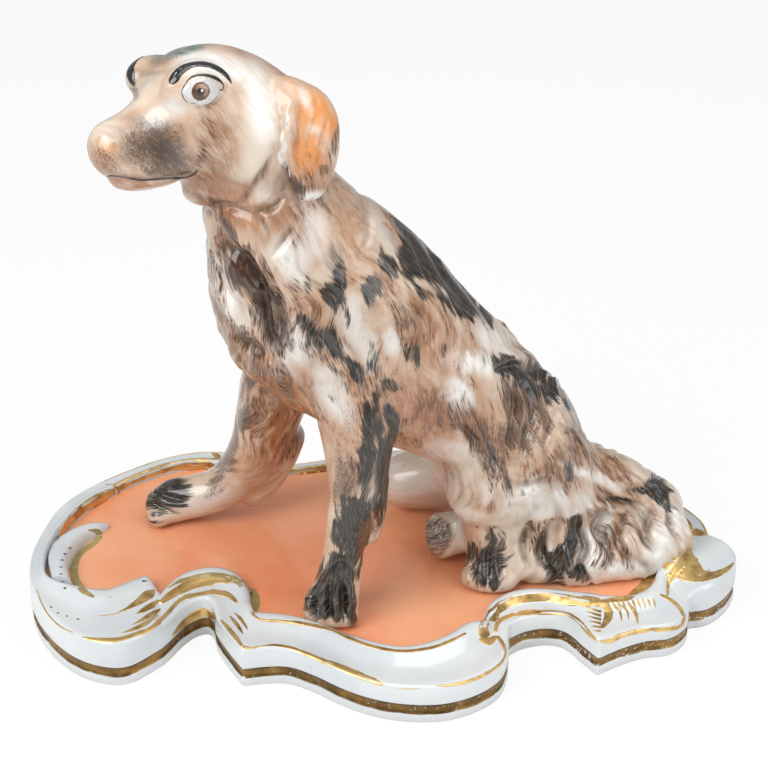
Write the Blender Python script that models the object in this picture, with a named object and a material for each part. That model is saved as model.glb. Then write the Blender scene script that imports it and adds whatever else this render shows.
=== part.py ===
"""Porcelain dog figurine: a seated long-haired dog on a scrolled, gilt-edged plinth.

Run with: blender --background --python part.py
Metres, +Z up, the dog faces -X, and the origin is under the middle of the plinth.
The figure is drawn in millimetres below and scaled by MM.
"""

from math import cos, pi, radians, sin

import bmesh
import bpy
from mathutils import Matrix, Vector

MM = 0.001

# Driving dimensions of the plinth, in millimetres
DECK_Z = 13.0
DECK_THICKNESS = 4.5
WALL_THICKNESS = 6.0
FOOT_HEIGHT = 3.8
BAND_HEIGHT = 4.2
BAND_DEPTH = 1.1
BAND_BEVEL = 0.6
FOOT_ROUND = 0.8
OUTLINE_STEPS = 3
INSET_SHARE = 0.97

# Clearances, in millimetres
LUTING_GAP = 0.3
SECTION_GAP = 0.35

# Driving dimensions of the dog, in millimetres and degrees
BODY_TURN = 8.0
BODY_OFFSET_Y = 7.6
HEAD_YAW = 28.0
HEAD_ROLL = 9.0
HEAD_ORIGIN = (-42.0, 3.0, 196.0)
LOFT_SIDES = 18
LOFT_STEPS = 4
CAP_ANGLES = (30.0, 60.0, 82.0)
END_ROUNDING = 0.75
HEAD_ROUNDING = 0.6
VOXEL = 1.3
SMOOTH_PASSES = 10
DOG_TRIANGLES = 6400
EAR_TRIANGLES = 300
SHARP_ANGLE = 40.0
DECK_NORMAL = 0.9

# Rim of the plinth, counter-clockwise from the back-left curl. Each station is
# outer x, y, inner x, y, height of the outer ridge, height of the crest.
RIM = {
    "rim_left_scroll": [
        (-112.0, 54.5, -106.5, 49.5, 16.6, 17.2),
        (-119.5, 45.5, -113.5, 40.5, 17.0, 18.0),
        (-125.8, 34.0, -119.6, 29.8, 17.5, 18.5),
        (-129.3, 18.0, -124.0, 16.8, 18.0, 19.0),
        (-130.8, 2.0, -125.4, 2.5, 18.5, 19.6),
        (-128.5, -14.5, -122.2, -11.2, 18.5, 20.2),
        (-121.5, -29.5, -110.5, -16.5, 18.5, 20.2),
        (-111.0, -42.0, -104.5, -17.0, 18.5, 19.8),
        (-100.0, -48.4, -99.0, -16.0, 18.8, 19.4),
        (-89.5, -48.6, -92.5, -10.5, 19.0, 19.0),
        (-79.5, -39.5, -86.5, -6.5, 18.6, 18.8),
    ],
    "rim_wave": [
        (-78.9, -38.8, -81.5, -17.5, 17.2, 17.0),
        (-76.6, -35.0, -79.0, -13.0, 17.0, 17.6),
        (-73.4, -29.0, -75.0, -7.0, 17.0, 18.0),
        (-70.3, -24.6, -69.5, -3.2, 17.0, 18.0),
        (-66.8, -21.7, -62.0, -1.8, 17.0, 18.0),
        (-63.6, -21.4, -54.5, -5.0, 17.0, 17.8),
        (-61.4, -24.4, -49.5, -12.5, 16.8, 17.4),
        (-60.1, -30.0, -47.8, -21.5, 16.4, 16.8),
    ],
    "rim_front_panel": [
        (-59.9, -30.9, -47.6, -22.4, 16.4, 17.2),
        (-57.2, -36.6, -47.2, -24.2, 16.6, 17.4),
        (-53.6, -43.2, -46.8, -26.0, 16.8, 17.6),
        (-49.3, -50.2, -46.2, -27.8, 16.8, 17.6),
    ],
    "rim_front_scroll": [
        (-49.3, -50.2, -46.2, -27.8, 16.8, 17.6),
        (-41.5, -48.8, -40.5, -28.0, 16.0, 17.2),
        (-33.0, -49.0, -33.0, -29.3, 15.6, 17.0),
        (-23.5, -54.0, -24.0, -33.0, 15.5, 17.0),
        (-14.0, -60.7, -14.5, -39.0, 15.5, 17.2),
        (-3.0, -66.2, -4.0, -44.3, 15.5, 17.5),
        (9.0, -68.8, 6.0, -47.2, 15.5, 17.6),
        (21.0, -68.4, 15.0, -45.2, 15.5, 17.8),
        (32.0, -63.7, 22.5, -40.7, 15.5, 18.0),
        (40.0, -56.2, 29.0, -35.0, 15.4, 18.3),
        (43.3, -46.5, 33.0, -33.4, 14.8, 17.6),
        (44.3, -35.5, 35.5, -31.8, 14.4, 15.8),
    ],
    "rim_gilt_hollow": [
        (44.6, -33.4, 35.2, -29.6, 14.6, 15.6),
        (50.5, -29.4, 38.8, -20.5, 14.6, 16.2),
        (58.5, -27.5, 47.5, -14.4, 14.6, 16.6),
        (65.5, -29.8, 58.0, -13.5, 15.2, 16.8),
        (71.2, -38.0, 67.0, -14.8, 16.0, 17.0),
        (75.5, -44.3, 74.0, -15.6, 16.2, 17.0),
    ],
    "rim_shell_panel": [
        (75.5, -44.3, 74.0, -15.6, 16.2, 17.0),
        (83.5, -39.3, 81.0, -16.8, 14.8, 16.4),
        (93.0, -34.9, 89.0, -16.6, 14.4, 16.2),
        (102.0, -33.2, 94.6, -14.0, 14.4, 16.4),
        (108.7, -26.8, 98.4, -9.5, 14.8, 17.0),
        (110.8, -19.0, 100.0, -4.8, 15.0, 17.6),
    ],
    "rim_right_scroll": [
        (111.1, -18.0, 100.3, -4.2, 16.0, 18.0),
        (118.5, -15.9, 102.0, 0.0, 18.4, 20.0),
        (126.0, -8.6, 104.0, 3.8, 19.0, 21.0),
        (130.7, 1.5, 106.0, 8.0, 19.0, 21.0),
        (128.6, 11.0, 107.5, 13.0, 18.4, 20.0),
        (124.0, 18.0, 108.3, 18.0, 16.8, 17.6),
    ],
    "rim_back_right": [
        (123.6, 19.0, 109.0, 19.2, 16.0, 17.2),
        (122.3, 28.0, 108.4, 28.0, 16.0, 17.5),
        (117.0, 37.2, 103.6, 36.0, 16.0, 17.5),
        (109.0, 46.5, 96.8, 42.0, 16.0, 17.5),
        (98.0, 55.0, 88.5, 46.4, 16.0, 17.5),
        (85.5, 60.5, 79.5, 49.0, 16.0, 17.5),
    ],
    "rim_back_hollow": [
        (85.5, 60.5, 79.5, 49.0, 16.0, 17.5),
        (76.0, 57.8, 74.0, 47.4, 15.6, 16.8),
        (66.5, 58.0, 67.0, 47.4, 15.6, 16.8),
        (58.0, 62.2, 60.0, 50.8, 15.6, 16.8),
        (52.0, 69.4, 53.6, 55.6, 16.0, 17.2),
    ],
    "rim_back_scroll": [
        (52.0, 69.4, 53.6, 55.6, 16.0, 17.2),
        (40.0, 75.4, 41.0, 62.6, 16.2, 17.8),
        (25.0, 78.6, 26.0, 66.8, 16.2, 18.0),
        (8.0, 78.6, 9.0, 68.2, 16.0, 17.6),
        (-8.0, 76.4, -7.0, 68.4, 15.4, 16.6),
        (-22.0, 73.0, -21.0, 67.4, 15.0, 15.8),
        (-34.0, 70.2, -34.0, 65.0, 14.8, 15.4),
        (-44.0, 69.4, -44.6, 63.2, 14.8, 15.4),
    ],
    "rim_back_left": [
        (-44.8, 69.4, -45.4, 63.2, 14.8, 15.4),
        (-56.0, 74.0, -56.0, 65.4, 16.0, 17.0),
        (-67.0, 76.4, -66.5, 67.4, 16.4, 17.4),
        (-79.0, 75.4, -77.5, 67.6, 16.4, 17.4),
        (-91.0, 70.4, -88.0, 63.8, 16.4, 17.4),
        (-102.0, 62.8, -98.0, 57.0, 16.4, 17.2),
        (-111.4, 55.2, -106.0, 50.2, 16.4, 16.8),
    ],
}

# Leaf of the left scroll, which curls inward over the deck
SCROLL_LEAF = [
    (-121.4, -10.4, -113.0, -14.4, 18.6, 19.8),
    (-124.6, 1.0, -116.3, -3.5, 18.6, 19.8),
    (-124.7, 9.0, -116.7, 5.0, 18.2, 19.4),
    (-123.2, 15.6, -115.0, 13.2, 17.6, 18.8),
    (-118.8, 22.8, -111.5, 19.8, 16.8, 18.0),
    (-112.5, 27.0, -107.8, 23.8, 16.0, 17.0),
    (-106.6, 28.6, -105.6, 27.0, 14.6, 15.2),
]

# Cross-section of a rim moulding: share of the width from the outer side,
# share of the height from the seat to the outer ridge, then to the crest
RIM_SECTION = [
    (0.00, 0.00, 0.0),
    (0.00, 0.86, 0.0),
    (0.05, 1.00, 0.0),
    (0.30, 1.00, 0.8),
    (0.60, 1.00, 1.0),
    (0.86, 0.80, 0.5),
    (1.00, 0.30, 0.0),
    (1.00, 0.00, 0.0),
]

# Profile of the torso in the body's plane: throat, chest and belly point x, z,
# then nape, back and rump point x, z, then the half width
TORSO = [
    (-56.0, 177.0, -30.0, 186.0, 18.0),
    (-60.5, 163.0, -20.0, 176.0, 20.5),
    (-59.5, 151.0, -9.5, 165.0, 24.0),
    (-59.5, 138.0, 7.0, 151.0, 28.0),
    (-58.0, 122.0, 22.0, 135.0, 31.0),
    (-53.0, 106.0, 36.0, 116.0, 32.0),
    (-42.0, 92.0, 48.0, 102.0, 31.0),
    (-22.0, 80.0, 58.0, 89.0, 29.0),
    (4.0, 68.0, 67.0, 78.0, 27.0),
    (22.0, 58.0, 74.0, 65.0, 26.0),
    (34.0, 40.0, 80.0, 50.0, 25.0),
    (44.0, 20.0, 84.0, 30.0, 22.0),
]

# Rounded masses laid on the torso, in the body's frame:
# centre x, y, z, radii x, y, z, and the tilt of the x axis in the body's plane
BODY_MASSES = [
    (-17.0, -17.0, 119.0, 29.0, 13.0, 20.0, 68.0),
    (-22.0, 18.0, 117.0, 30.0, 13.0, 20.0, 68.0),
    (43.0, -15.0, 61.0, 27.0, 15.0, 21.0, 52.0),
    (40.0, 15.0, 50.0, 23.0, 15.0, 20.0, 52.0),
    (58.0, -10.0, 40.0, 18.0, 14.0, 20.0, 40.0),
]

# Limbs as tapering tubes in the figure's frame: x, y, z, radius
LEFT_FORELEG = [
    (-20.0, -6.0, 124.0, 14.0),
    (-15.0, -13.0, 110.0, 14.5),
    (-10.5, -18.0, 97.0, 13.6),
    (-9.0, -21.0, 87.0, 12.4),
    (-9.0, -23.0, 75.0, 10.8),
    (-9.8, -24.0, 63.0, 9.2),
    (-13.0, -24.5, 52.0, 7.4),
    (-14.2, -25.0, 43.0, 7.0),
    (-15.0, -25.0, 34.0, 7.6),
    (-17.0, -26.0, 24.0, 8.6),
]
RIGHT_FORELEG = [
    (-32.0, 22.0, 104.0, 15.0),
    (-36.0, 26.0, 92.0, 15.0),
    (-38.5, 28.5, 80.0, 13.8),
    (-41.5, 30.5, 68.0, 12.8),
    (-44.5, 32.0, 57.0, 11.6),
    (-48.5, 33.0, 46.0, 10.2),
    (-54.0, 34.0, 36.0, 9.0),
    (-62.0, 35.0, 27.0, 8.4),
    (-72.0, 35.0, 23.0, 8.4),
    (-82.0, 35.0, 21.0, 8.2),
]
RIGHT_FORELEG_FEATHER = [
    (-36.0, 34.0, 52.0, 7.0),
    (-40.0, 35.0, 40.0, 6.5),
    (-45.0, 36.0, 29.0, 5.5),
    (-51.0, 36.5, 20.5, 4.2),
]
LEFT_FORELEG_FEATHER = [
    (-3.0, -22.0, 70.0, 5.0),
    (-3.5, -22.0, 58.0, 4.6),
    (-4.0, -21.5, 48.0, 3.6),
    (-4.5, -21.0, 42.0, 2.2),
]
LEFT_HIND_LEG = [
    (34.0, 0.0, 58.0, 13.0),
    (38.0, 3.0, 42.0, 12.0),
    (39.5, 0.0, 30.0, 10.2),
    (39.0, -3.5, 21.0, 8.8),
]
RIGHT_THIGH = [
    (50.0, 32.0, 48.0, 17.0),
    (34.0, 38.0, 36.0, 15.0),
    (18.0, 41.0, 28.0, 12.6),
    (6.0, 42.0, 25.0, 10.6),
]
RIGHT_HIND_FOOT = [
    (52.0, 18.0, 26.0, 10.0),
    (40.0, 14.0, 24.5, 8.6),
    (30.0, 10.5, 24.0, 8.0),
    (21.0, 8.0, 24.0, 8.4),
]
TAIL = [
    (70.0, 17.0, 44.0, 14.0),
    (82.0, 18.0, 39.0, 13.0),
    (93.0, 18.5, 32.0, 12.5),
    (102.0, 16.0, 26.0, 12.0),
    (104.0, 10.0, 22.5, 11.5),
    (97.0, 4.5, 21.0, 11.0),
    (86.0, 1.0, 21.0, 11.0),
    (75.0, -1.0, 21.0, 11.0),
    (64.0, -2.5, 20.5, 10.0),
    (56.0, -3.0, 18.0, 8.0),
]

# Paws: centre x, y, z, radii x, y, z, and the way the toes point, in degrees
LEFT_HIND_PAW = (38.6, -6.0, 19.0)
PAWS = [
    ((-18.0, -26.5, 19.0), (9.2, 8.6, 7.2), 255.0),
    ((-82.0, 35.0, 19.5), (10.5, 8.6, 7.0), 180.0),
    (LEFT_HIND_PAW, (8.8, 8.6, 7.4), 262.0),
]
RIGHT_HIND_SOLE = ((20.4, 7.5, 23.5), (6.6, 7.4, 10.0))

# Fringe of hair that closes the gap between the left hind paw and the end of the tail
HAUNCH_FRINGE = ((50.5, -4.5, 22.0), (6.5, 7.0, 8.0))

# Toes, which stand on the deck: their layout follows from their radius
TOE_RADIUS = 4.1
TOE_COUNT = 4
TOE_HEIGHT = DECK_Z + TOE_RADIUS
TOE_REACH = 1.5 * TOE_RADIUS
TOE_SPREAD = 1.07 * TOE_RADIUS
TOE_SETBACK = 0.2 * TOE_RADIUS
TOES_HALF_WIDTH = TOE_SPREAD * (TOE_COUNT - 1) / 2 + TOE_RADIUS

# Head, in its own frame: x forward, y to the dog's left, z up, all from HEAD_ORIGIN.
# Each section is x, top z, bottom z, half width.
SKULL = [
    (-18.0, 2.0, -16.0, 13.0),
    (-12.0, 9.0, -22.0, 18.0),
    (-4.0, 16.0, -25.0, 20.5),
    (6.0, 21.5, -25.5, 21.0),
    (16.0, 23.6, -22.5, 20.0),
    (25.0, 22.4, -18.5, 18.0),
    (32.0, 17.5, -17.0, 15.0),
    (38.0, 10.4, -16.5, 12.4),
    (43.0, 7.2, -16.0, 11.2),
    (48.0, 5.6, -15.0, 10.2),
    (52.0, 3.6, -12.0, 8.0),
]
# Rounded masses of the head: x, y, z, radii x, y, z
HEAD_MASSES = [
    (6.0, -14.0, -6.0, 15.0, 8.5, 16.0),
    (6.0, 14.0, -6.0, 15.0, 8.5, 16.0),
    (24.0, 11.8, 14.0, 11.0, 6.4, 7.4),
    (28.5, -12.0, 13.5, 9.5, 7.0, 6.8),
    (36.5, -6.2, -8.8, 13.5, 6.8, 8.4),
    (36.5, 6.2, -8.8, 13.5, 6.8, 8.4),
    (49.5, -3.6, -1.2, 4.4, 4.6, 4.6),
    (49.5, 3.6, -1.2, 4.4, 4.6, 4.6),
    (50.0, 0.0, 0.4, 4.8, 6.4, 4.8),
    (39.0, 0.0, -14.4, 12.5, 7.2, 4.4),
    (15.0, 0.0, -22.0, 13.0, 9.5, 7.5),
]
# Ear, hanging from the head: x, y out from the middle, z, half length along x, half thickness
EAR = [
    (-5.0, 14.5, 11.0, 4.5, 4.0),
    (-8.0, 18.5, 7.0, 7.8, 5.0),
    (-9.5, 21.0, 1.5, 9.4, 5.6),
    (-9.6, 22.4, -4.5, 9.8, 5.6),
    (-8.8, 23.8, -12.0, 9.2, 4.6),
    (-7.4, 24.0, -19.5, 7.6, 3.8),
    (-6.4, 24.0, -25.5, 4.6, 2.4),
]

# What lies below the dog's seat on the deck, as lowest and highest x, y, z, and tilt
UNDER_DECK = ((-200.0, -200.0, -100.0), (200.0, 200.0, DECK_Z + LUTING_GAP), 0.0)

# The cut between the hind feet passes just clear of the left paw's toes
TOE_CLEARANCE = 0.4
LEFT_HIND_INNER_X = LEFT_HIND_PAW[0] - TOES_HALF_WIDTH - TOE_CLEARANCE

# Boxes that part the castings, taken off the body in this order: lowest and
# highest x, y, z, and the tilt about the lowest corner
CASTING_BOXES = {
    "head": ((-130.0, -90.0, 156.0), (80.0, 90.0, 256.0), -13.0),
    "left_foreleg": ((-44.0, -60.0, 0.0), (4.0, -8.0, 66.0), 0.0),
    "right_foreleg": ((-110.0, 14.0, 0.0), (-20.0, 70.0, 74.0), 0.0),
    "tail": ((53.0, -60.0, 0.0), (154.0, 80.0, 40.0), 0.0),
    "left_hind_leg": ((LEFT_HIND_INNER_X, -60.0, 0.0), (57.0, 4.0, 43.0), 0.0),
    "right_hind_leg": ((-20.0, -30.0, 0.0), (62.0, 80.0, 47.0), 0.0),
}

# Rim mouldings that the tail leans over
RIMS_UNDER_TAIL = ["rim_right_scroll"]

COLOURS = {
    "porcelain": ((0.86, 0.88, 0.88), 0.12),
    "coat": ((0.80, 0.68, 0.60), 0.18),
    "ear": ((0.72, 0.42, 0.22), 0.18),
    "ground": ((0.90, 0.52, 0.34), 0.16),
}


def clear_scene():
    for obj in list(bpy.data.objects):
        bpy.data.objects.remove(obj, do_unlink=True)


def material(name):
    made = bpy.data.materials.get(name)
    if made:
        return made
    colour, roughness = COLOURS[name]
    made = bpy.data.materials.new(name)
    made.use_nodes = True
    shader = made.node_tree.nodes["Principled BSDF"]
    shader.inputs["Base Color"].default_value = (*colour, 1.0)
    shader.inputs["Roughness"].default_value = roughness
    shader.inputs["Metallic"].default_value = 0.0
    made.diffuse_color = (*colour, 1.0)
    return made


def object_from(bm, name, finish):
    bmesh.ops.recalc_face_normals(bm, faces=bm.faces[:])
    mesh = bpy.data.meshes.new(name)
    bm.to_mesh(mesh)
    bm.free()
    obj = bpy.data.objects.new(name, mesh)
    bpy.context.scene.collection.objects.link(obj)
    obj.data.materials.append(material(finish))
    return obj


def helper(obj):
    obj.hide_render = True
    obj.display_type = "WIRE"
    return obj


def spline(rows, steps, closed=False):
    """Catmull-Rom through rows of numbers, with the given steps in each span."""
    rows = [Vector(row) for row in rows]
    count = len(rows)
    spans = count if closed else count - 1
    made = []
    for i in range(spans):
        if closed:
            a, b, c, d = (rows[(i + k - 1) % count] for k in range(4))
        else:
            b, c = rows[i], rows[i + 1]
            a = rows[i - 1] if i else b * 2 - c
            d = rows[i + 2] if i + 2 < count else c * 2 - b
        for step in range(steps):
            t = step / steps
            made.append(
                (b * 2 + (c - a) * t + (a * 2 - b * 5 + c * 4 - d) * t**2
                 + (b * 3 - a - c * 3 + d) * t**3) * 0.5
            )
    if not closed:
        made.append(rows[-1])
    return made


def bridge_rings(bm, rings):
    """Faces between rings of equal length, with both ends filled."""
    made = [[bm.verts.new(point) for point in ring] for ring in rings]
    for low, high in zip(made, made[1:]):
        for i in range(len(low)):
            j = (i + 1) % len(low)
            bm.faces.new((low[i], low[j], high[j], high[i]))
    bm.faces.new(made[0][::-1])
    bm.faces.new(made[-1])


# The plinth


def rim_stations(rows):
    return spline(rows, OUTLINE_STEPS)


def outline():
    """Outer edge of the plinth, from the outer sides of all the rim's sections."""
    points = []
    for rows in RIM.values():
        for station in rim_stations(rows):
            point = Vector(station[:2])
            if not points or (point - points[-1]).length > SECTION_GAP:
                points.append(point)
    return points


def inset(points, distance):
    """The outline moved inward, without the points that would come closer than that."""
    count = len(points)
    moved = []
    for i in range(count):
        along = (points[(i + 1) % count] - points[i - 1]).normalized()
        candidate = points[i] + Vector((-along.y, along.x)) * distance
        near = min((candidate - other).length for other in points)
        if near > distance * INSET_SHARE:
            moved.append(candidate)
    return moved


def wall_offset(points, distance):
    """The outline moved inward a little, with each point kept."""
    count = len(points)
    moved = []
    for i in range(count):
        along = (points[(i + 1) % count] - points[i - 1]).normalized()
        moved.append(points[i] + Vector((-along.y, along.x)) * distance)
    return moved


def raised(points, z):
    return [Vector((p.x, p.y, z)) * MM for p in points]


def make_plinth():
    edge = outline()
    band_top = FOOT_HEIGHT + BAND_HEIGHT
    profile = [
        (FOOT_ROUND, 0.0),
        (0.0, FOOT_ROUND),
        (0.0, FOOT_HEIGHT),
        (BAND_DEPTH, FOOT_HEIGHT + BAND_BEVEL),
        (BAND_DEPTH, band_top - BAND_BEVEL),
        (0.0, band_top),
        (0.0, DECK_Z),
    ]
    bm = bmesh.new()
    bridge_rings(bm, [raised(wall_offset(edge, depth), z) for depth, z in profile])
    plinth = object_from(bm, "plinth", "porcelain")

    bm = bmesh.new()
    hollow = inset(edge, WALL_THICKNESS)
    ceiling = DECK_Z - DECK_THICKNESS
    bridge_rings(bm, [raised(hollow, -FOOT_ROUND), raised(hollow, ceiling)])
    cutter = helper(object_from(bm, "plinth_hollow", "porcelain"))
    cut = plinth.modifiers.new("hollow_underside", "BOOLEAN")
    cut.operation = "DIFFERENCE"
    cut.solver = "EXACT"
    cut.object = cutter
    plinth.data.materials.append(material("ground"))
    return plinth


def rim_ring(station):
    outer_x, outer_y, inner_x, inner_y, ridge, crest = station
    outer = Vector((outer_x, outer_y))
    across = Vector((inner_x, inner_y)) - outer
    seat = DECK_Z + LUTING_GAP
    ring = []
    for share, rise, swell in RIM_SECTION:
        point = outer + across * share
        z = seat + (ridge - seat) * rise + (crest - ridge) * swell
        ring.append(Vector((point.x, point.y, z)) * MM)
    return ring


def shortened(stations, gap):
    """The stations with each end drawn back by half a gap, along the section."""
    made = [Vector(station) for station in stations]
    for end, inside in ((0, 1), (-1, -2)):
        span = (Vector(made[inside][:2]) - Vector(made[end][:2])).length
        made[end] = made[end].lerp(made[inside], min(0.5, gap / 2 / span))
    return made


def make_rim_section(name, rows):
    bm = bmesh.new()
    bridge_rings(bm, [rim_ring(s) for s in shortened(rim_stations(rows), SECTION_GAP)])
    return object_from(bm, name, "porcelain")


# The dog


def loft(bm, sections, cap=END_ROUNDING):
    """Rings through sections (centre, half axis, half axis), with rounded ends."""
    rows = [tuple(c) + tuple(u) + tuple(w) for c, u, w in sections]
    made = []
    for row in spline(rows, LOFT_STEPS):
        made.append((Vector(row[0:3]), Vector(row[3:6]), Vector(row[6:9])))
    for end, inside in ((0, 1), (-1, -2)):
        centre, u, w = made[end]
        out = (centre - made[inside][0]).normalized()
        reach = cap * min(u.length, w.length)
        rounds = []
        for angle in CAP_ANGLES:
            shrink = cos(radians(angle))
            place = centre + out * reach * sin(radians(angle))
            rounds.append((place, u * shrink, w * shrink))
        made = rounds[::-1] + made if end == 0 else made + rounds
    rings = []
    for centre, u, w in made:
        ring = []
        for i in range(LOFT_SIDES):
            angle = 2 * pi * i / LOFT_SIDES
            ring.append(centre + u * cos(angle) + w * sin(angle))
        rings.append(ring)
    bridge_rings(bm, rings)


def tube(bm, rows):
    """A round tapering limb through x, y, z, radius."""
    centres = [Vector(row[:3]) for row in rows]
    sections = []
    for i, row in enumerate(rows):
        along = (centres[min(i + 1, len(rows) - 1)] - centres[max(i - 1, 0)]).normalized()
        u = along.cross(Vector((0.0, 1.0, 0.0)))
        if u.length < 0.3:
            u = along.cross(Vector((1.0, 0.0, 0.0)))
        u.normalize()
        w = along.cross(u)
        sections.append((centres[i] * MM, u * row[3] * MM, w * row[3] * MM))
    loft(bm, sections)


def ellipsoid(bm, centre, radii, frame=Matrix()):
    place = frame @ Matrix.Translation(Vector(centre) * MM)
    place = place @ Matrix.Diagonal((*(Vector(radii) * MM), 1.0))
    bmesh.ops.create_icosphere(bm, subdivisions=3, radius=1.0, matrix=place)


def body_frame():
    shift = Matrix.Translation(Vector((0.0, BODY_OFFSET_Y, 0.0)) * MM)
    return shift @ Matrix.Rotation(radians(BODY_TURN), 4, "Z")


def head_frame():
    """Maps the head's frame (x forward) to the figure's, where the dog faces -X."""
    place = Matrix.Translation(Vector(HEAD_ORIGIN) * MM)
    yaw = Matrix.Rotation(pi + radians(HEAD_YAW), 4, "Z")
    roll = Matrix.Rotation(radians(HEAD_ROLL), 4, "X")
    return place @ yaw @ roll


def add_torso(bm):
    frame = body_frame()
    sections = []
    for front_x, front_z, back_x, back_z, half_width in TORSO:
        front = frame @ (Vector((front_x, 0.0, front_z)) * MM)
        back = frame @ (Vector((back_x, 0.0, back_z)) * MM)
        side = frame.to_3x3() @ Vector((0.0, half_width * MM, 0.0))
        sections.append(((front + back) / 2, (back - front) / 2, side))
    loft(bm, sections)
    for x, y, z, rx, ry, rz, tilt in BODY_MASSES:
        place = frame @ Matrix.Translation(Vector((x, y, z)) * MM)
        turn = Matrix.Rotation(radians(-tilt), 4, "Y")
        ellipsoid(bm, (0.0, 0.0, 0.0), (rx, ry, rz), place @ turn)


def add_paw(bm, centre, radii, heading):
    """A paw with its toes, which point along heading degrees in plan."""
    ellipsoid(bm, centre, radii)
    ahead = Vector((cos(radians(heading)), sin(radians(heading)), 0.0))
    across = Vector((-ahead.y, ahead.x, 0.0))
    for i in range(TOE_COUNT):
        offset = i - (TOE_COUNT - 1) / 2
        reach = TOE_REACH - TOE_SETBACK * offset**2
        toe = Vector(centre) + ahead * reach + across * offset * TOE_SPREAD
        toe.z = TOE_HEIGHT
        ellipsoid(bm, toe, (TOE_RADIUS,) * 3)


def add_head(bm):
    frame = head_frame()
    turn = frame.to_3x3()
    sections = []
    for x, top, bottom, half_width in SKULL:
        centre = frame @ (Vector((x, 0.0, (top + bottom) / 2)) * MM)
        rise = turn @ Vector((0.0, 0.0, (top - bottom) / 2 * MM))
        side = turn @ Vector((0.0, half_width * MM, 0.0))
        sections.append((centre, rise, side))
    loft(bm, sections, cap=HEAD_ROUNDING)
    for x, y, z, rx, ry, rz in HEAD_MASSES:
        ellipsoid(bm, (x, y, z), (rx, ry, rz), frame)


def ear_mesh(side):
    bm = bmesh.new()
    frame = head_frame()
    turn = frame.to_3x3()
    sections = []
    for x, y, z, half_length, half_thickness in EAR:
        centre = frame @ (Vector((x, side * y, z)) * MM)
        along = turn @ Vector((half_length * MM, 0.0, 0.0))
        out = turn @ Vector((0.0, half_thickness * MM, 0.0))
        sections.append((centre, along, out))
    loft(bm, sections)
    return bm


def evaluated_copy(obj, name):
    """A plain mesh object holding what the modifiers of obj make."""
    bpy.context.view_layer.update()
    graph = bpy.context.evaluated_depsgraph_get()
    mesh = bpy.data.meshes.new_from_object(obj.evaluated_get(graph))
    copy = bpy.data.objects.new(name, mesh)
    bpy.context.scene.collection.objects.link(copy)
    return copy


def fused(bm, name, finish, triangles):
    """One even skin round everything in bm, smoothed, with about that many triangles."""
    rough = object_from(bm, name + "_rough", finish)
    remesh = rough.modifiers.new("fuse", "REMESH")
    remesh.mode = "VOXEL"
    remesh.voxel_size = VOXEL * MM
    smooth = rough.modifiers.new("smooth", "SMOOTH")
    smooth.factor = 0.5
    smooth.iterations = SMOOTH_PASSES
    fine = evaluated_copy(rough, name + "_fine")
    decimate = fine.modifiers.new("lighten", "DECIMATE")
    fine.data.calc_loop_triangles()
    decimate.ratio = min(1.0, triangles / len(fine.data.loop_triangles))
    decimate.use_collapse_triangulate = True
    light = evaluated_copy(fine, name)
    for used in (rough, fine):
        bpy.data.objects.remove(used, do_unlink=True)
    return light


def box_cutter(name, box, grow=0.0):
    low, high, tilt = box
    low, high = Vector(low), Vector(high)
    size = (high - low + Vector((grow, grow, grow)) * 2) * MM
    corner = Matrix.Translation(low * MM)
    middle = Matrix.Translation((high - low) / 2 * MM)
    place = corner @ Matrix.Rotation(radians(tilt), 4, "Y") @ middle
    bm = bmesh.new()
    bmesh.ops.create_cube(bm, size=1.0, matrix=place @ Matrix.Diagonal((*size, 1.0)))
    return helper(object_from(bm, name, "porcelain"))


def boolean(obj, cutter, operation):
    step = obj.modifiers.new(operation.lower() + "_" + cutter.name, "BOOLEAN")
    step.operation = operation
    step.solver = "EXACT"
    step.object = cutter


def keep_clear(obj, other):
    """Cuts obj back from the other piece, whose copy is first grown by the gap."""
    grown = bpy.data.objects.new(obj.name + "_off_" + other.name, other.data.copy())
    bpy.context.scene.collection.objects.link(grown)
    move = grown.modifiers.new("grow", "DISPLACE")
    move.strength = LUTING_GAP * MM
    move.mid_level = 0.0
    boolean(obj, helper(grown), "DIFFERENCE")


def carved(obj, cutter, operation, name):
    """A new object that holds obj cut by the cutter, which is then removed."""
    boolean(obj, cutter, operation)
    made = evaluated_copy(obj, name)
    obj.modifiers.clear()
    bpy.data.objects.remove(cutter, do_unlink=True)
    return made


def part_castings(rest):
    """Takes each casting off the rest by its box, and gives back what is left."""
    for name, box in CASTING_BOXES.items():
        carved(rest, box_cutter(name + "_box", box), "INTERSECT", name)
        gap = box_cutter(name + "_gap", box, LUTING_GAP)
        smaller = carved(rest, gap, "DIFFERENCE", "without_" + name)
        bpy.data.objects.remove(rest, do_unlink=True)
        rest = smaller
    return rest


def make_dog():
    bm = bmesh.new()
    add_torso(bm)
    add_head(bm)
    for rows in (LEFT_FORELEG, RIGHT_FORELEG, LEFT_FORELEG_FEATHER, RIGHT_FORELEG_FEATHER,
                 LEFT_HIND_LEG, RIGHT_THIGH, RIGHT_HIND_FOOT, TAIL):
        tube(bm, rows)
    for centre, radii, heading in PAWS:
        add_paw(bm, centre, radii, heading)
    ellipsoid(bm, *RIGHT_HIND_SOLE)
    ellipsoid(bm, *HAUNCH_FRINGE)
    whole = fused(bm, "dog_whole", "coat", DOG_TRIANGLES)

    seat = box_cutter("under_deck", UNDER_DECK)
    torso = part_castings(carved(whole, seat, "DIFFERENCE", "standing"))
    torso.name = "torso"
    for side, name in ((1, "left_ear"), (-1, "right_ear")):
        ear = fused(ear_mesh(side), name, "ear", EAR_TRIANGLES)
        keep_clear(ear, whole)
    bpy.data.objects.remove(whole, do_unlink=True)
    for name in RIMS_UNDER_TAIL:
        keep_clear(bpy.data.objects["tail"], bpy.data.objects[name])


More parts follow.
